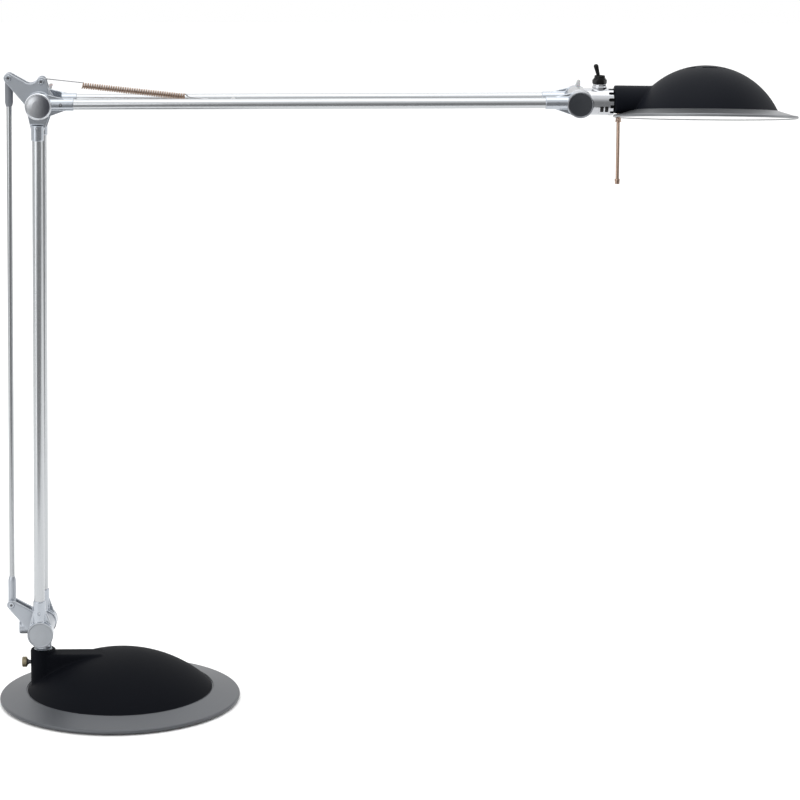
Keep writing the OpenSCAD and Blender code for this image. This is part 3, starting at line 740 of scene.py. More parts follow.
def cord_gland():
    """The gland at the rear of the dome: a collar and a split, ribbed sleeve."""
    side = [(3.2, -2), (5, -2), (5, 8), (5.9, 8.6), (5.9, 10.2), (5, 10.8), (5, 11.6), (4.6, 11.6),
            (4.6, 12.2), (4.9, 12.2), (4.7, 13), (3.2, 13)]
    piece = moved_by(lathe("cord_gland", side, 40, True), turned(-90, "X"))
    finished(piece, moved(0, DOME_R - 14, GLAND_Z), "base", "rubber", "cord_gland")


def lock_screw():
    """The thumb screw of the swivel, with a knurled head."""
    teeth = 40
    wheel = []
    for i in range(teeth):
        for part, radius in ((0, 5.25), (0.35, 5.25), (0.5, 4.9), (0.85, 4.9)):
            turn = TURN * (i + part) / teeth
            wheel.append((radius * math.cos(turn), radius * math.sin(turn)))
    knurl = moved_by(prism("knurl", wheel, 0, 5.6), turned(90, "X"))
    side = rounded([(0, 0), (4.7, 0), (5.3, 0.8), (5.3, 4.4), (3.4, 5.6), (0, 5.6)], 0.3)
    head = shared(knurl, lathe("head_form", side, 48))
    dish = lathe("dish", [(0, -1), (2.6, -1), (2.6, 0.35), (0, 0.5)], 32)
    cut(head, dish)
    at = moved(POST.x - 21.1, 0, LOCK_Z) @ LAID_DOWN
    head.name = "lock_screw_head"
    finished(head, at, "lock_screw", "brass", "swivel_lock_screw")
    stem = rounded([(0, 5.2), (2.7, 5.2), (2.7, 6.6), (2, 7), (2, 12.8), (1.6, 13.3), (0, 13.3)], 0.2)
    finished(lathe("lock_screw_stem", stem, 32), at, "lock_screw", "dark_steel",
             "swivel_lock_screw")


# ---- castings of the post, the elbow and the rod ----

PIN = (ROD_PIN.x, ROD_PIN.z)
SPRING_PIN = (1.7, 21.4)
HUB = (0, 0)
HUB_R = 11.5
HUB_HALF = 15.3
LOBE_R = 4.6
CHEEK_IN = 4.4
CHEEK_OUT = 8.3
PIN_BORE = 2.05


def cheeks(name, outline):
    """A front and a rear plate of one outline."""
    return [prism(name + "_front", outline, -CHEEK_OUT, -CHEEK_IN),
            prism(name + "_rear", outline, CHEEK_IN, CHEEK_OUT)]


def fork(name, pin, solid_to):
    """The two cheeks of a forked lever from the hub to a pin, with the solid web that joins them."""
    outline = link_outline(HUB, HUB_R, pin, LOBE_R)
    reach = Vector(pin).length
    way = Vector(pin) / reach
    waist = HUB_R + (LOBE_R - HUB_R) * solid_to / reach
    across = Vector((-way.y, way.x)) * waist
    middle = [tuple(across * 1.1), tuple(way * solid_to + across), tuple(way * solid_to - across),
              tuple(across * -1.1)]
    return cheeks(name, outline) + [prism(name + "_web", middle, -5, 5)]


def hub_barrel(name, radius, half_width):
    """A hub about Y with a small chamfer at each end."""
    return moved_by(lathe(name, bar_side(radius, -half_width, half_width, 0.6), 72), turned(90, "X"))


def pin_holes(radius, *pins):
    """Cutters for the pins of a casting."""
    return [cylinder("pin_hole", radius, -20, 20, "Y", (x, 0, z), 32) for x, z in pins]


def post_casting():
    """The bracket on the post: spigot, hub, forked lever and the stub below it."""
    foot = TOWER_TOP - POST.z + 0.3
    bottom = 16 - POST.z
    spigot = lathe("spigot", rounded([(0, bottom), (7.5, bottom), (7.5, foot + 0.2), (8.6, foot + 0.4),
                                      (8.6, foot + 4.6), (7.6, foot + 5.2), (7.6, 0), (0, 0)], 0.8), 64)
    gusset = prism("gusset", [(-8, foot + 3), (8, foot + 3), (10.4, -3), (0, 2), (-10.4, -3)], -8, 8)
    stub = moved_by(lathe("stub", bar_side(6.75, 0, 23, 0.7), 56), turned(-90, "Y"))
    parts = fork("lever", PIN, 19.6) + [hub_barrel("hub", HUB_R, HUB_HALF), spigot, gusset, stub]
    piece = fused("post_casting", parts, 0.5, 4)
    stub_bore = cylinder("stub_bore", 4.6, -30, -14, "X", steps=40)
    cut(piece, stub_bore, *pin_holes(PIN_BORE, PIN))
    finished(piece, AT_POST, "post", "casting", "post_casting", smooth=45)
    plug = rounded([(0, -15), (4.45, -15), (4.45, -22.6), (4.0, -22.9), (1.6, -22.9), (1.3, -22.2),
                    (0, -22.2)], 0.15)
    piece = moved_by(lathe("stub_plug", [(r, -z) for r, z in plug], 40), turned(-90, "Y"))
    finished(piece, AT_POST, "post", "matt_cap", "stub_plug")


def elbow_plate():
    """The elbow bracket: hub, the long fork to the rod, the short fork to the spring, a round fillet."""
    parts = fork("long", PIN, 16.6) + fork("short", SPRING_PIN, 14.4) + cheeks("web", fillet_web())
    parts.append(hub_barrel("hub", HUB_R, HUB_HALF))
    piece = fused("elbow_plate", parts, 0.45, 4)
    cut(piece, *pin_holes(PIN_BORE, PIN, SPRING_PIN))
    finished(piece, AT_ELBOW, "elbow", "casting", "elbow_plate", smooth=45)


def fillet_web():
    """The outline of the concave fillet between the elbow's two forks."""
    radius = 8
    long_way, short_way = Vector(PIN), Vector(SPRING_PIN)
    lean = [math.acos((HUB_R - LOBE_R) / way.length) for way in (long_way, short_way)]
    n1 = math.atan2(long_way.y, long_way.x) - lean[0]
    n2 = math.atan2(short_way.y, short_way.x) + lean[1]
    size = (HUB_R + radius) / math.sin(n2 - n1)
    centre = Vector((math.sin(n2) - math.sin(n1), math.cos(n1) - math.cos(n2))) * size
    start, end = math.degrees(n1) + 180, math.degrees(n2) + 180
    return [HUB] + arc(tuple(centre), radius, start, end - 360 if end > start + 180 else end, 14)


def rivet_pin(name, at, body, node):
    """A pin across a fork: a dark stem and a bright ring round each end."""
    half = CHEEK_OUT
    stem = rounded([(0, -half - 0.45), (1.15, -half - 0.45), (1.15, -half), (2, -half), (2, half),
                    (1.15, half), (1.15, half + 0.45), (0, half + 0.45)], 0.1)
    turn = turned(90, "X")
    finished(moved_by(lathe(name, stem, 32), turn), at, body, "dark_steel", node)
    ring = rounded([(1.1, half), (3, half), (3, half + 0.55), (2.5, half + 0.9), (1.4, half + 0.9),
                    (1.1, half + 0.6)], 0.12, closed=True)
    first = lathe(name + "_ring", ring, 40, True)
    other = copied(first, "other_ring", UPSIDE_DOWN)
    finished(moved_by(joined(name + "_rings", first, other), turn), at, body, "fitting", node)


def rod_parts(sizes):
    """The parallelogram rod and its two ends."""
    radius = sizes.rod_diameter / MM / 2
    side = bar_side(radius, 10, LOWER_LENGTH - 10, 0.4)
    finished(lathe("parallel_rod", side, 40), AT_ROD, "rod", "rod", "parallel_rod")
    for name, sleeve, shine, slot, flip in (
            ("rod_lower_end", 3.85, "casting", "silver_casting", Matrix.Identity(4)),
            ("rod_upper_end", 3.95, "grey_sleeve", "black_hardware",
             moved(0, 0, LOWER_LENGTH) @ UPSIDE_DOWN)):
        body = lathe("sleeve", rounded([(0, 0), (sleeve, 0.5), (sleeve, 24), (radius + 0.3, 28), (0, 28)],
                                       0.5), 48)
        ring = lathe("crimp", rounded([(0, 18), (sleeve, 18), (sleeve - 0.3, 19), (sleeve, 20), (0, 20)],
                                      0.2), 48)
        piece = fused(name, [hub_barrel("eye", 4, 4), body, ring], 0.33, 3)
        cut(piece, cylinder("eye_bore", 2.1, -9, 9, "Y", steps=32),
            cylinder("rod_bore", radius, 10, 40, steps=40))
        moved_by(piece, flip)
        finished(piece, AT_ROD, "rod", shine, name, smooth=45)


# ---- the arms ----

DISC_R = 12.6
INNER_FACE = 16.2
FRONT_FACE = 28.4
ELBOW_FRONT = -28.5
NUT_FACE = 33.4
BOLT_R = 3.95
TUBE_Y = 22.3
TUBE_SHIFT = -1.2
SOCKET_R = 6.1
SOCKET_START = 18.6
MOUTH = 33.4
SCREW_AT = 21.4
WEB = 3
TUBE_END = 19.2


def fitting(name, inner, outer):
    """One end fitting at the front: hub plate, tapered gusset and the tube's socket up +Z."""
    disc = moved_by(lathe("disc", bar_side(DISC_R, inner, outer, 0.5), 72), turned(90, "X"))
    outline = link_outline(HUB, DISC_R, (TUBE_SHIFT, 22), SOCKET_R + 0.3)
    web = min(max(-TUBE_Y - WEB / 2, -outer), -inner - WEB)
    gusset = trimmed(prism("gusset", outline, web, web + WEB), MOUTH - 0.3, "below")
    socket = lathe("socket", bar_side(SOCKET_R, SOCKET_START, MOUTH, 0.4), 56)
    root = cylinder("root", SOCKET_R, 8, SOCKET_START + 3, steps=56)
    for part in (socket, root):
        moved_by(part, moved(TUBE_SHIFT, -TUBE_Y, 0))
    shared(root, block("range", (-20, -outer, 0), (20, -inner, 40)))
    piece = fused(name, [disc, gusset, socket, root], 0.45, 3)
    bore = cylinder("bore", BOLT_R + 0.1, -40, 0, "Y", steps=40)
    seat = cylinder("seat", 5.15, TUBE_END, 50, at=(TUBE_SHIFT, -TUBE_Y, 0), steps=56)
    screw = cylinder("screw_bore", 1.6, -40, -TUBE_Y, "Y", (TUBE_SHIFT, 0, SCREW_AT), 28)
    return cut(piece, bore, seat, screw)


def fitting_pair(name, inner, outer, at, body):
    """A front and a rear end fitting."""
    front = fitting(name, inner, outer)
    rear = copied(front, "rear", TO_THE_REAR)
    finished(joined(name, front, rear), at, body, "fitting", name, smooth=45)


def tube_pair(sizes, names, at, total, finish, body):
    """The twin tubes of an arm, with their ends inside the sockets."""
    radius = sizes.tube_diameter / MM / 2
    side = rounded([(radius, TUBE_END), (radius, total - TUBE_END), (radius - 1, total - TUBE_END),
                    (radius - 1, TUBE_END)], 0.2, closed=True)
    for name, y in zip(names, (-TUBE_Y, TUBE_Y)):
        tube = moved_by(lathe(name, side, 56, True), moved(TUBE_SHIFT, y, 0))
        finished(tube, at, body, finish, name)


def set_screws(name, total, at, body, near):
    """The four socket screws that hold an arm's tubes, the near pair in its own finish."""
    face = -TUBE_Y - SOCKET_R + 0.45
    screw = lathe("screw", bar_side(1.55, 0, 0.9, 0.2), 28)
    cut(screw, cylinder("hex", 0.8, -0.2, 0.55, steps=6))
    moved_by(screw, moved(TUBE_SHIFT, face, SCREW_AT) @ turned(-90, "X"))
    rear = copied(screw, "rear", TO_THE_REAR)
    far = [copied(one, "far", moved(0, 0, total) @ UPSIDE_DOWN) for one in (screw, rear)]
    finished(joined(name, screw, rear), at, body, near, name)
    finished(joined(name + "_far", *far), at, body, "fitting", name)


def disc_cap(name):
    """A crowned cap with a raised rim, lying on y = 0 and facing the front."""
    radius = DISC_R + 0.2
    side = rounded([(0, 0), (radius - 0.4, 0), (radius, 0.5), (radius, 1.5), (radius - 0.5, 2),
                    (radius - 1.2, 2), (radius - 1.6, 1.35), (radius - 3.5, 1.55), (radius - 7, 1.85),
                    (0, 2)], 0.3)
    return moved_by(lathe(name, side, 80), turned(90, "X"))


def bolt(name, front, rear, at, body, node):
    """A pivot bolt with a few turns of thread at its rear end."""
    thread = rear - 4.2
    side = [(0, front), (BOLT_R, front), (BOLT_R, thread)]
    for i in range(7):
        side += [(BOLT_R, thread + 0.6 * i + 0.05), (3.6, thread + 0.6 * i + 0.3)]
    side += [(3.5, rear), (0, rear)]
    piece = moved_by(lathe(name, side, 40), turned(-90, "X"))
    finished(piece, at, body, "zinc", node)


def clamp_nut(name, wing, at, body):
    """A fluted clamp nut with one wing."""
    start, thick, flutes = 28.5, 4.4, 24
    disc = moved_by(lathe("disc", bar_side(DISC_R, start, start + thick, 0.7), 72), turned(-90, "X"))
    low_step = moved_by(lathe("step", bar_side(7.5, start, start + thick, 0.5), 48), turned(-90, "X"))
    arm = link_outline((8, 0), 3.2, (16.6, 0), 1.8)
    tab = moved_by(prism("tab", arm, start, start + 3.2), turned(-wing, "Y"))
    piece = fused(name, [disc, low_step, tab], 0.4, 4)
    keep = wing + 15
    notches = []
    for i in range(flutes):
        angle = keep + (330 / (flutes - 1)) * i
        x, z = 13.3 * math.cos(math.radians(angle)), 13.3 * math.sin(math.radians(angle))
        notches.append(cylinder("flute", 1.0, start - 1, start + thick + 1, "Y", (x, 0, z), 12))
    cut(piece, joined("flutes", *notches), cylinder("bore", BOLT_R + 0.1, 20, 40, "Y", steps=40))
    finished(piece, at, body, "nylon", name, smooth=40)


UPRIGHT_UPPER_ARM = AT_UPPER_ARM @ LAID_DOWN


def tubes(sizes):
    """The twin tubes of both arms."""
    tube_pair(sizes, ("lower_tube_front", "lower_tube_rear"), AT_LOWER_ARM, LOWER_LENGTH, "lower_tube",
              "lower_arm")
    tube_pair(sizes, ("upper_tube_front", "upper_tube_rear"), UPRIGHT_UPPER_ARM, UPPER_LENGTH,
              "upper_tube", "upper_arm")


def end_fittings():
    """The pairs of fittings at the four ends of the arms."""
    top = AT_LOWER_ARM @ moved(0, 0, LOWER_LENGTH) @ UPSIDE_DOWN
    head_end = AT_UPPER_ARM @ moved(UPPER_LENGTH, 0, 0) @ Matrix.Diagonal((-1, 1, 1, 1)) @ LAID_DOWN
    fitting_pair("lower_foot_fittings", INNER_FACE, FRONT_FACE, AT_LOWER_ARM, "lower_arm")
    fitting_pair("lower_top_fittings", INNER_FACE, 21.7, top, "lower_arm")
    fitting_pair("upper_elbow_fittings", 22.7, FRONT_FACE, UPRIGHT_UPPER_ARM, "upper_arm")
    fitting_pair("upper_head_fittings", INNER_FACE, FRONT_FACE, head_end, "upper_arm")


def joint_caps():
    """The caps of the three joints."""
    front = disc_cap("front")
    moved_by(front, moved(0, -FRONT_FACE, 0))
    rear = copied(front, "rear", TO_THE_REAR)
    finished(joined("lower_joint_caps", front, rear), AT_POST, "lower_arm", "matt_cap", "lower_joint_caps")
    # The elbow cap and the head cap carry painted reflections, bright and dark.
    finished(disc_cap("elbow_cap"), AT_ELBOW @ moved(0, ELBOW_FRONT, 0), "lower_arm", "cap_painted_bright_reflection",
             "elbow_cap")
    finished(disc_cap("head_cap"), AT_HEAD_HUB @ moved(0, -FRONT_FACE, 0), "upper_arm", "cap_painted_dark_reflection",
             "head_cap")


# ---- the spring ----

CROSS_BAR_X = 185
COIL_START = 39
COIL_LENGTH = 100


def wire(name, points, radius):
    """A round wire along a path of (x, z) points in the plane of the arm."""
    deselect()
    bpy.ops.curve.primitive_bezier_curve_add()
    piece = bpy.context.object
    piece.name = name
    spline = piece.data.splines[0]
    spline.bezier_points.add(len(points) - 2)
    for knot, point in zip(spline.bezier_points, points):
        knot.co = (point[0], 0, point[1])
        knot.handle_left_type = knot.handle_right_type = "VECTOR"
    piece.data.resolution_u = 1
    piece.data.bevel_depth = radius
    piece.data.bevel_resolution = 3
    piece.data.use_fill_caps = True
    take(piece)
    bpy.ops.object.convert(target="MESH")
    bpy.ops.object.mode_set(mode="EDIT")
    tidy_faces()
    return piece


def spring(sizes):
    """The wound tension spring, its hooks and the cross bar that it pulls on."""
    drop = math.degrees(math.atan2(SPRING_PIN[1] + TUBE_SHIFT, CROSS_BAR_X - SPRING_PIN[0]))
    at = AT_ELBOW @ moved(SPRING_PIN[0], 0, SPRING_PIN[1]) @ turned(drop, "Y")
    radius = sizes.spring_wire / MM / 2
    middle = sizes.spring_diameter / MM / 2 - radius
    pitch = 2 * radius * 1.73
    turns = int(COIL_LENGTH / pitch)
    deselect()
    bpy.ops.mesh.primitive_circle_add(vertices=8, radius=radius, location=(middle, 0, 0),
                                      rotation=(math.pi / 2, 0, 0))
    coil = fresh("spring_coil")
    bpy.ops.object.transform_apply()
    apply_modifier(coil, "SCREW", axis="Z", angle=TURN, steps=18, render_steps=18, screw_offset=pitch,
                   iterations=turns, use_normal_calculate=True)
    take(coil)
    bpy.ops.object.mode_set(mode="EDIT")
    bpy.ops.mesh.select_all(action="SELECT")
    bpy.ops.mesh.fill_holes(sides=0)
    tidy_faces()
    moved_by(coil, moved(COIL_START, 0, 0) @ LAID_DOWN)
    end = COIL_START + pitch * turns
    finished(coil, at, "upper_arm", "spring", "spring_coil", smooth=60)

    reach = math.hypot(CROSS_BAR_X - SPRING_PIN[0], SPRING_PIN[1] + TUBE_SHIFT)
    loop = 2.5 + radius + 0.05
    tail = [(end - 0.6, middle), (end + 0.6, middle * 0.9), (end + 2, middle * 0.5), (end + 3.5, 0.3),
            (end + 5, 0), (reach - 9, 0), (reach - 6, 0.5), (reach - 4, 1.6)]
    tail += arc((reach, 0), loop, 115, -140, 17)
    finished(wire("spring_tail", tail, radius), at, "upper_arm", "wire", "spring_coil",
             smooth=60)
    round_pin = 2 + radius + 0.05
    hook = arc(HUB, round_pin, 330, 105, 15)
    hook += [(0, round_pin), (COIL_START / 2, (round_pin + middle) / 2), (COIL_START - 0.8, middle),
             (COIL_START + 0.6, middle)]
    piece = finished(wire("spring_hook_wire", hook, radius), at, None, "wire",
                     "spring_hook_wire", smooth=60)
    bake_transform(piece)

    half = 17.95
    bar = rounded([(0, -half), (2.5, -half), (2.5, -1.2), (1.9, -0.7), (1.9, 0.7), (2.5, 1.2), (2.5, half),
                   (0, half)], 0.3)
    finished(moved_by(lathe("spring_cross_bar", bar, 40), turned(90, "X")),
             AT_UPPER_ARM @ moved(CROSS_BAR_X, 0, -TUBE_SHIFT), "upper_arm", "zinc",
             "spring_cross_bar")


# ---- the head ----

SWITCH_X = 20.3
BOSS_TOP = 17.2
BARREL_R = 12.95
BARREL_END = 34.2
MOUTH_R = 9.5
NECK_R = 13.6
NECK_START = 34.6
NECK_END = 74
NECK_RISE = 2.4
PAD_START = 18.9
PAD_WIDTH = 11.4


def barrel():
    """The bright barrel of the head joint, with its castellated mouth and the pad on its front."""
    along = moved_by(lathe("along", bar_side(BARREL_R, 0, BARREL_END, 0.7), 80), LAID_DOWN)
    boss_side = rounded([(0, 0), (7.1, 0), (7.1, 14.6), (6.5, 15.2), (6.5, BOSS_TOP), (0, BOSS_TOP)], 0.35)
    boss = moved_by(lathe("boss", boss_side, 56), moved(SWITCH_X, 0, 0))
    piece = fused("barrel_casting", [hub_barrel("across", BARREL_R, 15.3), along, boss], 0.45, 4)
    mouth = cylinder("mouth", MOUTH_R, 26, BARREL_END + 1, "X", steps=72)
    switch_bore = cylinder("switch_bore", 5.9, -11, 40, at=(SWITCH_X, 0, 0), steps=48)
    slots = []
    for i in range(12):
        slot = link_outline((1.6, 0), 1.6, (8, 0), 1.59, 8)
        one = prism("slot", [(BARREL_END - 4 - 1.6 + x, z) for x, z in slot], -BARREL_R - 2, -MOUTH_R + 1.2)
        slots.append(moved_by(one, turned(15.5 + 30 * i, "X")))
    cut(piece, mouth, switch_bore, joined("slots", *slots))
    finished(piece, AT_HEAD, "barrel", "barrel", "barrel_casting", smooth=45)

    finished(barrel_band("barrel_pad", -0.3, 0.6, 0, 24, 59.5, -88.7, True), AT_HEAD, "barrel", "barrel",
             "barrel_pad")
    finished(barrel_band("barrel_pad_panes", -0.1, 0.15, 1, 20, 44, -80), AT_HEAD, "barrel", "gloss",
             "barrel_pad")


def barrel_band(name, sunk, proud, inset, steps, sweep, start, windows=False):
    """A strip round part of the barrel, with two windows cut in it or none."""
    inner, outer = BARREL_R + sunk, BARREL_R + proud
    left, right = PAD_START + inset, PAD_START + PAD_WIDTH - inset
    ring = [(inner, left), (outer, left), (outer, right), (inner, right)]
    band = moved_by(lathe(name, ring, steps, True, math.radians(sweep)), LAID_DOWN @ turned(start, "Z"))
    if windows:
        for near in (left + 1.6, left + 6.2):
            box = block("window", (near, -20, -8.8), (near + 3.4, -BARREL_R + 6, -3.2))
            cut(band, bevelled(box, 0.6, 2))
    return band


def switch():
    """The black two-step nut and the lever of the switch."""
    side = rounded([(4.4, BOSS_TOP), (6.2, BOSS_TOP), (7.1, BOSS_TOP + 0.7), (7.1, 21.2), (6.3, 21.8),
                    (5.9, 21.8), (5.9, 23), (5.2, 23.3), (5.2, 25), (4.9, 25.4), (4.4, 25.4)], 0.12,
                   closed=True)
    form = lathe("switch_nut", side, 60, True)
    hexagon = [(7.1 * math.cos(TURN * i / 6), 7.1 * math.sin(TURN * i / 6)) for i in range(6)]
    across = moved_by(prism("across_flats", hexagon, 10, 30), turned(90, "X"))
    shared(form, across)
    finished(form, AT_HEAD @ moved(SWITCH_X, 0, 0), "barrel", "gloss", "switch_nut",
             smooth=30)
    bat = arc((0, 0), 3.1, -90, 50, 8) + [(1.9, 3.6), (1.75, 6), (2.0, 10)] + arc((0, 14.6), 2.4, -12, 90, 8)
    at = AT_HEAD @ moved(SWITCH_X, 0, 20) @ turned(-15, "Y")
    finished(lathe("toggle_lever", bat, 40), at, "toggle", "gloss", "toggle_lever",
             smooth=50)


SKIRT_R = 89.7
SKIRT_IN_R = SHADE_R - 1
HANDLE_X = 39.3
HANDLE_TOP = -15
HANDLE_LENGTH = 55
COLLAR_FOOT = -4.3
RIM_R = 1.5


def skirt_height(radius):
    """The height of the skirt's top face at a radius."""
    return SHADE_FOOT - 6.3 * (radius - SKIRT_IN_R) / (SKIRT_R - SKIRT_IN_R)


def shade_dome(sizes):
    """The black dome with its neck and its vents."""
    outer = solid_dome("outer", SHADE_R, SHADE_RISE, SHADE_FOOT, 5)
    moved_by(outer, moved(SHADE_X, 0, 0))
    neck = lathe("neck", bar_side(NECK_R, NECK_START, NECK_END, 0.8), 80)
    moved_by(neck, moved(0, 0, NECK_RISE) @ LAID_DOWN)
    piece = fused("shade_dome", [outer, neck], 0.75, 10)
    rim_top = skirt_height(SKIRT_R - RIM_R) - 0.9 + RIM_R + 0.1
    near_rim = SKIRT_R - 2.2 * RIM_R
    under = lathe("under", [(0, -40), (SKIRT_R + 10, -40), (SKIRT_R + 10, rim_top), (near_rim, rim_top),
                            (near_rim, skirt_height(near_rim)), (SKIRT_IN_R, SHADE_FOOT), (0, SHADE_FOOT)],
                  96)
    moved_by(under, moved(SHADE_X, 0, 0))
    inside = hollow(SHADE_R, SHADE_RISE, sizes.shade_wall / MM, SHADE_FOOT, 4)
    moved_by(inside, moved(SHADE_X, 0, 0))
    bore = cylinder("bore", MOUTH_R - 0.05, 30, 43.6, "X", steps=56)
    vents = []
    for i in range(6):
        one = lathe("vent", [(19.5, 24), (22.5, 24), (22.5, 44), (19.5, 44)], 10, True, math.radians(40))
        vents.append(moved_by(one, moved(SHADE_X, 0, 0) @ turned(60 * i - 108, "Z")))
    cut(piece, under, inside, bore, joined("vents", *vents))
    finished(piece, at_shade(), "head", "shade", "shade_dome", smooth=40)


def skirt():
    """The silver skirt with its rolled rim."""
    centre = (SKIRT_R - RIM_R, skirt_height(SKIRT_R - RIM_R) - 0.9)
    inner = SKIRT_R - 2 * RIM_R
    outline = [(SKIRT_IN_R, SHADE_FOOT), (SKIRT_IN_R, SHADE_FOOT - 1.2),
               (inner - 0.3, skirt_height(inner - 0.3) - 1.2)]
    outline += arc(centre, RIM_R, 190, 430, 20)
    bead = SKIRT_R - 1.8 * RIM_R
    outline.append((bead, skirt_height(bead)))
    piece = lathe("skirt_ring", outline, 180, True)
    cut(moved_by(piece, moved(SHADE_X, 0, 0)), cylinder("hole", 1.6, -20, -6, at=(HANDLE_X, 0, 0), steps=24))
    finished(piece, at_shade(), "head", "skirt", "skirt_ring")


def reflector():
    """The white reflector: a flat outer band and a bowl up to the lamp."""
    line = [(SKIRT_R - 4, skirt_height(SKIRT_R - 4) - 1.35), (66, -8.8), (47, 3), (14, 18.8)]
    smooth_line = rounded(line, 9, 8)
    outline = smooth_line + [(r, z - 0.8) for r, z in reversed(smooth_line)]
    piece = lathe("reflector", outline, 128, True)
    cut(moved_by(piece, moved(SHADE_X, 0, 0)), cylinder("hole", 1.6, -20, -6, at=(HANDLE_X, 0, 0), steps=24))
    finished(piece, at_shade(), "head", "white", "reflector")


def lamp_parts():
    """The glass, its clips, the capsule and the lampholder."""
    at = at_shade() @ moved(SHADE_X, 0, LAMP_Z)
    finished(lathe("glass_shield", bar_side(43.5, -2, 0, 0.6), 128), at, "head", "glass", "glass_shield")
    clips = []
    for angle in (30, 150, 270):
        bent = rounded([(40.5, -2.8), (46.7, -2.8), (46.7, 0.6), (44.5, 0.6), (44.5, -2), (40.5, -2)], 0.25,
                       closed=True)
        clips.append(moved_by(bevelled(prism("clip", bent, -3, 3), 0.2, 2), turned(angle, "Z")))
    finished(joined("shield_clips", *clips), at, "head", "zinc", "shield_clips")
    holder = rounded([(0, 15), (9, 15), (9, 17.2), (15, 17.2), (15, 18.6), (9, 18.6), (9, 30), (0, 30)], 0.5)
    finished(lathe("lampholder", holder, 64), at, "head", "ceramic", "lampholder")
    bulb = arc((0, 5.4), 4.2, -90, 0, 10) + rounded([(4.2, 10.4), (4.2, 11.6), (2.4, 13.4), (0, 13.4)], 0.8)
    envelope = lathe("envelope", bulb, 40)
    pinch = bevelled(block("pinch", (-4.5, -2, 8.8), (4.5, 2, 14.2)), 0.6)
    legs = [cylinder("leg", 0.6, 12, 20, at=(x, 0, 0), steps=16) for x in (-3.2, 3.2)]
    capsule = fused("halogen_capsule", [envelope, pinch] + legs, 0.3, 2)
    finished(capsule, at, "head", "glass", "halogen_capsule", smooth=50)


def handle():
    """The collar, the rod and the knob of the handle under the skirt."""
    foot = COLLAR_FOOT - HANDLE_LENGTH
    collar = rounded([(0, 5.3), (1.5, 5.3), (1.5, 0), (2.6, 0), (2.6, -3), (3.1, -3.3), (3.1, COLLAR_FOOT),
                      (0, COLLAR_FOOT)], 0.25)
    knob = rounded([(0, foot - 5.2), (2.15, foot - 5.2), (2.6, foot - 1.2), (2.6, foot - 0.2),
                    (2.2, foot), (0, foot)], 0.45)
    for name, side in (("handle_collar", collar), ("handle_rod", bar_side(1.7, foot, COLLAR_FOOT, 0.15)),
                       ("handle_knob", knob)):
        finished(lathe(name, side, 40), at_shade() @ moved(HANDLE_X, 0, HANDLE_TOP), "head", "handle", name)


def carried_over():
    """Finishes for the nodes that keep their own shape."""
    for node, finish in (("dome_screws", "zinc"), ("ballast_ring", "iron"), ("transformer", "tape"),
                         ("transformer_bolt", "zinc"), ("post_bush", "nylon"),
                         ("lower_pivot_bolt", "zinc"), ("lower_arm_washers", "rubber"),
                         ("lower_lead", "rubber"), ("head_washers", "rubber"), ("upper_lead", "rubber"),
                         ("switch_body", "gloss"), ("swivel_spigot", "gloss")):
        mesh = frame["nodes"][node].data
        mesh.materials.clear()
        mesh.materials.append(FINISHES[finish])


# ---- the stage ----

FLOOR_SIZE = 8
FLOOR_Y = 3.4
FLOOR_Z = -0.0002


def area_light(name, spot, target, size, power, tall=None):
    """A soft rectangular light that faces its target."""
    deselect()
    bpy.ops.object.light_add(type="AREA", location=spot)
    light = bpy.context.object
    light.name = name
    light.rotation_euler = (Vector(target) - Vector(spot)).to_track_quat("-Z", "Y").to_euler()
    light.data.shape = "RECTANGLE"
    light.data.size = size
    light.data.size_y = tall or size
    light.data.energy = power


def stand_camera(view):
    """The camera, by its place, its turns and its lens."""
    yaw, pitch, roll = view.yaw, view.pitch, view.roll
    ahead = Vector((math.sin(yaw) * math.cos(pitch), math.cos(yaw) * math.cos(pitch), -math.sin(pitch)))
    right = Vector((math.cos(yaw), -math.sin(yaw), 0))
    up = right.cross(ahead)
    side = right * math.cos(roll) + up * math.sin(roll)
    top = up * math.cos(roll) - right * math.sin(roll)
    deselect()
    bpy.ops.object.camera_add(location=view.place)
    camera = bpy.context.object
    camera.name = "camera"
    camera.rotation_euler = Matrix((side, top, -ahead)).transposed().to_euler()
    camera.data.lens = view.lens
    camera.data.sensor_width = 36
    camera.data.clip_end = 30
    bpy.context.scene.camera = camera


def light_up():
    """The four soft lights."""
    area_light("key_light", (-1.0, -2.3, 1.15), (0.0, 0, 0.5), 1.3, 9, 1.5)
    area_light("strip_light", (-1.6, -1.5, 0.2), (0.0, 0, 0.35), 0.8, 11, 3.0)
    area_light("side_light", (2.4, 0.4, 1.0), (0.3, 0, 0.4), 0.9, 7, 1.5)
    area_light("top_light", (0.25, -0.2, 2.4), (0.2, 0, 0.2), 1.6, 11)


def surround():
    """Surroundings that are plain white to the camera and shaded where the metal mirrors them."""
    world = bpy.context.scene.world or bpy.data.worlds.new("surroundings")
    bpy.context.scene.world = world
    sky = Recipe("surroundings", world)
    way = sky.tree.nodes.new("ShaderNodeTexCoord").outputs["Generated"]
    x, y, z = sky.axes(Signal(sky, way))
    overhead = sky.fade(z, 0.02, 0.75, 0.36, 1.3)
    from_left = sky.fade(x, -0.2, -0.95, 0, 0.45)
    from_behind = sky.fade(y, 0.1, 0.9, 0, 0.5)
    seen = Signal(sky, sky.tree.nodes.new("ShaderNodeLightPath").outputs["Is Camera Ray"])
    glow = overhead + from_left + from_behind
    backdrop = sky.tree.nodes["Background"]
    backdrop.inputs["Color"].default_value = (1, 1, 1, 1)
    sky.feed(backdrop.inputs["Strength"], glow * (1 - seen) + seen * 1.0)
    bpy.context.scene.view_settings.view_transform = "Standard"


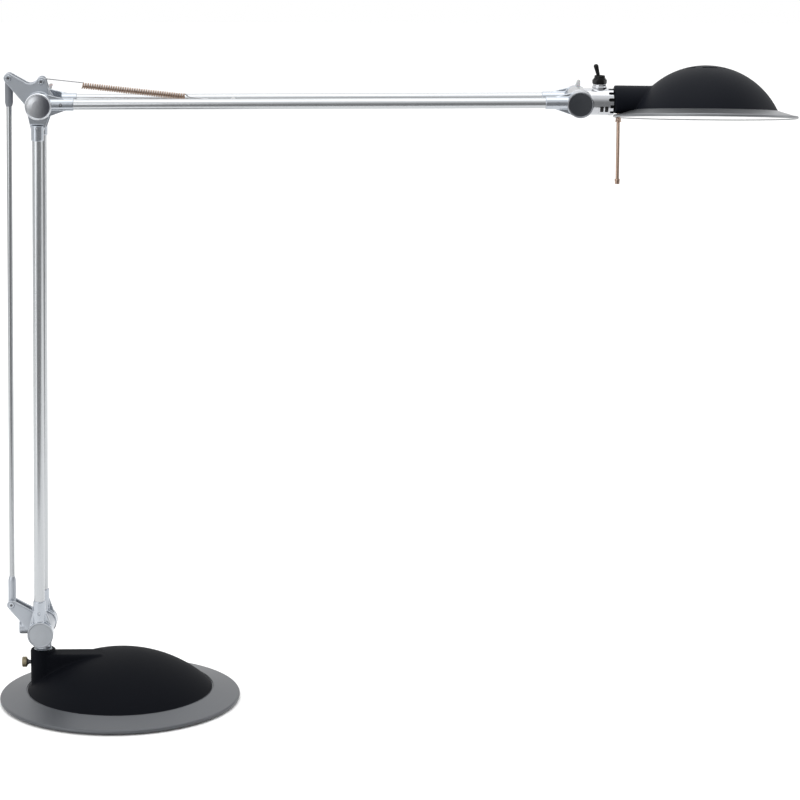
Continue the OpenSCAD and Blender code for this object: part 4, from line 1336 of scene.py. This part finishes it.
def lay_floor(colours):
    """The pale floor."""
    deselect()
    bpy.ops.mesh.primitive_plane_add(size=FLOOR_SIZE, location=(0, FLOOR_Y, FLOOR_Z))
    floor = fresh("floor")
    bpy.ops.object.transform_apply()
    floor.data.materials.append(moulding("pale_floor", tuple(colours.floor), rough=0.75, grain=0.02,
                                         relief=0.01))


def stage(view, colours):
    """The camera, the soft lights, the surroundings and the pale floor."""
    stand_camera(view)
    light_up()
    surround()
    lay_floor(colours)


# ---- operators ----

class LAMP_OT_stage(bpy.types.Operator):
    """Set up the camera, the lights and the pale floor"""
    bl_idname = "lamp.stage"
    bl_label = "Stage"
    bl_options = {"REGISTER", "UNDO"}

    def execute(self, context):
        stage(context.scene.lamp_view, context.scene.lamp_colours)
        return {"FINISHED"}


class LAMP_OT_finishes(bpy.types.Operator):
    """Mix the lamp's finishes and give them to the nodes that keep their shape"""
    bl_idname = "lamp.finishes"
    bl_label = "Finishes"
    bl_options = {"REGISTER", "UNDO"}

    def execute(self, context):
        FINISHES.update(make_finishes(context.scene.lamp_colours))
        carried_over()
        return {"FINISHED"}


class LAMP_OT_base_plate(bpy.types.Operator):
    """Model the base plate and the felt under it"""
    bl_idname = "lamp.base_plate"
    bl_label = "Base plate"
    bl_options = {"REGISTER", "UNDO"}

    def execute(self, context):
        base_plate(context.scene.lamp_sizes)
        felt_pad()
        return {"FINISHED"}


class LAMP_OT_dome(bpy.types.Operator):
    """Model the black dome of the base and its cord gland"""
    bl_idname = "lamp.dome"
    bl_label = "Dome"
    bl_options = {"REGISTER", "UNDO"}

    def execute(self, context):
        dome_cover(context.scene.lamp_sizes)
        cord_gland()
        return {"FINISHED"}


class LAMP_OT_lock_screw(bpy.types.Operator):
    """Model the thumb screw of the swivel"""
    bl_idname = "lamp.lock_screw"
    bl_label = "Lock screw"
    bl_options = {"REGISTER", "UNDO"}

    def execute(self, context):
        lock_screw()
        return {"FINISHED"}


class LAMP_OT_brackets(bpy.types.Operator):
    """Cast the post bracket and the elbow bracket"""
    bl_idname = "lamp.brackets"
    bl_label = "Brackets"
    bl_options = {"REGISTER", "UNDO"}

    def execute(self, context):
        post_casting()
        elbow_plate()
        return {"FINISHED"}


class LAMP_OT_pins(bpy.types.Operator):
    """Set the pins of the rod and the spring in their brackets"""
    bl_idname = "lamp.pins"
    bl_label = "Pins"
    bl_options = {"REGISTER", "UNDO"}

    def execute(self, context):
        rivet_pin("lower_rod_pin", AT_POST @ moved(*ROD_PIN), "post", "lower_rod_pin")
        rivet_pin("upper_rod_pin", AT_ELBOW @ moved(*ROD_PIN), "elbow", "upper_rod_pin")
        rivet_pin("spring_pin", AT_ELBOW @ moved(SPRING_PIN[0], 0, SPRING_PIN[1]), "elbow", "spring_pin")
        return {"FINISHED"}


class LAMP_OT_rod(bpy.types.Operator):
    """Model the parallelogram rod and its ends"""
    bl_idname = "lamp.rod"
    bl_label = "Rod"
    bl_options = {"REGISTER", "UNDO"}

    def execute(self, context):
        rod_parts(context.scene.lamp_sizes)
        return {"FINISHED"}


class LAMP_OT_tubes(bpy.types.Operator):
    """Model the twin tubes of both arms"""
    bl_idname = "lamp.tubes"
    bl_label = "Tubes"
    bl_options = {"REGISTER", "UNDO"}

    def execute(self, context):
        tubes(context.scene.lamp_sizes)
        return {"FINISHED"}


class LAMP_OT_end_fittings(bpy.types.Operator):
    """Model the fittings at the ends of the tubes"""
    bl_idname = "lamp.end_fittings"
    bl_label = "End fittings"
    bl_options = {"REGISTER", "UNDO"}

    def execute(self, context):
        end_fittings()
        return {"FINISHED"}


class LAMP_OT_set_screws(bpy.types.Operator):
    """Model the socket screws that hold the tubes"""
    bl_idname = "lamp.set_screws"
    bl_label = "Set screws"
    bl_options = {"REGISTER", "UNDO"}

    def execute(self, context):
        set_screws("lower_set_screws", LOWER_LENGTH, AT_LOWER_ARM, "lower_arm", "fitting")
        set_screws("upper_set_screws", UPPER_LENGTH, UPRIGHT_UPPER_ARM, "upper_arm", "dark_steel")
        return {"FINISHED"}


class LAMP_OT_joint_caps(bpy.types.Operator):
    """Model the caps of the three joints"""
    bl_idname = "lamp.joint_caps"
    bl_label = "Joint caps"
    bl_options = {"REGISTER", "UNDO"}

    def execute(self, context):
        joint_caps()
        return {"FINISHED"}


class LAMP_OT_bolts(bpy.types.Operator):
    """Model the pivot bolts of the elbow and the head"""
    bl_idname = "lamp.bolts"
    bl_label = "Bolts"
    bl_options = {"REGISTER", "UNDO"}

    def execute(self, context):
        bolt("elbow_bolt", ELBOW_FRONT, NUT_FACE, AT_ELBOW, "lower_arm", "elbow_bolt")
        bolt("head_bolt", -FRONT_FACE, NUT_FACE, AT_HEAD_HUB, "upper_arm", "head_bolt")
        return {"FINISHED"}


class LAMP_OT_clamp_nuts(bpy.types.Operator):
    """Model the clamp nuts of the elbow and the head"""
    bl_idname = "lamp.clamp_nuts"
    bl_label = "Clamp nuts"
    bl_options = {"REGISTER", "UNDO"}

    def execute(self, context):
        clamp_nut("elbow_clamp_nut", 61, AT_ELBOW, "elbow_clamp")
        clamp_nut("head_clamp_nut", 80, AT_HEAD_HUB, "head_clamp")
        return {"FINISHED"}


class LAMP_OT_spring(bpy.types.Operator):
    """Wind the spring with its hooks and its cross bar"""
    bl_idname = "lamp.spring"
    bl_label = "Spring"
    bl_options = {"REGISTER", "UNDO"}

    def execute(self, context):
        spring(context.scene.lamp_sizes)
        return {"FINISHED"}


class LAMP_OT_barrel(bpy.types.Operator):
    """Cast the barrel of the head with its pad"""
    bl_idname = "lamp.barrel"
    bl_label = "Barrel"
    bl_options = {"REGISTER", "UNDO"}

    def execute(self, context):
        barrel()
        return {"FINISHED"}


class LAMP_OT_switch(bpy.types.Operator):
    """Model the nut and the lever of the switch"""
    bl_idname = "lamp.switch"
    bl_label = "Switch"
    bl_options = {"REGISTER", "UNDO"}

    def execute(self, context):
        switch()
        return {"FINISHED"}


class LAMP_OT_shade(bpy.types.Operator):
    """Mould the black dome of the shade"""
    bl_idname = "lamp.shade"
    bl_label = "Shade"
    bl_options = {"REGISTER", "UNDO"}

    def execute(self, context):
        shade_dome(context.scene.lamp_sizes)
        return {"FINISHED"}


class LAMP_OT_skirt(bpy.types.Operator):
    """Spin the silver skirt and the white reflector"""
    bl_idname = "lamp.skirt"
    bl_label = "Skirt"
    bl_options = {"REGISTER", "UNDO"}

    def execute(self, context):
        skirt()
        reflector()
        return {"FINISHED"}


class LAMP_OT_lamp(bpy.types.Operator):
    """Model the glass, its clips, the capsule and the lampholder"""
    bl_idname = "lamp.lamp"
    bl_label = "Lamp"
    bl_options = {"REGISTER", "UNDO"}

    def execute(self, context):
        lamp_parts()
        return {"FINISHED"}


class LAMP_OT_handle(bpy.types.Operator):
    """Model the handle under the skirt"""
    bl_idname = "lamp.handle"
    bl_label = "Handle"
    bl_options = {"REGISTER", "UNDO"}

    def execute(self, context):
        handle()
        return {"FINISHED"}


OPERATORS = (LAMP_OT_stage, LAMP_OT_finishes, LAMP_OT_base_plate, LAMP_OT_dome, LAMP_OT_lock_screw,
             LAMP_OT_brackets, LAMP_OT_pins, LAMP_OT_rod, LAMP_OT_tubes, LAMP_OT_end_fittings,
             LAMP_OT_set_screws, LAMP_OT_joint_caps, LAMP_OT_bolts, LAMP_OT_clamp_nuts, LAMP_OT_spring,
             LAMP_OT_barrel, LAMP_OT_switch, LAMP_OT_shade, LAMP_OT_skirt, LAMP_OT_lamp, LAMP_OT_handle)


class LAMP_PT_panel(bpy.types.Panel):
    """The lamp's sizes, colours and operators"""
    bl_label = "Swing Arm Desk Lamp"
    bl_idname = "LAMP_PT_panel"
    bl_space_type = "VIEW_3D"
    bl_region_type = "UI"
    bl_category = "Lamp"

    def draw(self, context):
        scene = context.scene
        for group in (scene.lamp_sizes, scene.lamp_colours, scene.lamp_view):
            box = self.layout.box()
            for key in type(group).__annotations__:
                box.prop(group, key)
        for operator in OPERATORS:
            self.layout.operator(operator.bl_idname)


GROUPS = (("lamp_sizes", LampSizes), ("lamp_colours", LampColours), ("lamp_view", LampView))
CLASSES = tuple(group for _, group in GROUPS) + OPERATORS + (LAMP_PT_panel,)


def register():
    """Registers the classes and the scene's properties."""
    for cls in CLASSES:
        bpy.utils.register_class(cls)
    for key, group in GROUPS:
        setattr(bpy.types.Scene, key, bpy.props.PointerProperty(type=group))


def unregister():
    """Takes the scene's properties and the classes away again."""
    for key, _ in GROUPS:
        delattr(bpy.types.Scene, key)
    for cls in reversed(CLASSES):
        bpy.utils.unregister_class(cls)


def main():
    """Builds the whole lamp."""
    register()
    for operator in OPERATORS:
        family, name = operator.bl_idname.split(".")
        getattr(getattr(bpy.ops, family), name)()
    bpy.context.view_layer.update()


if __name__ == "__main__":
    main()
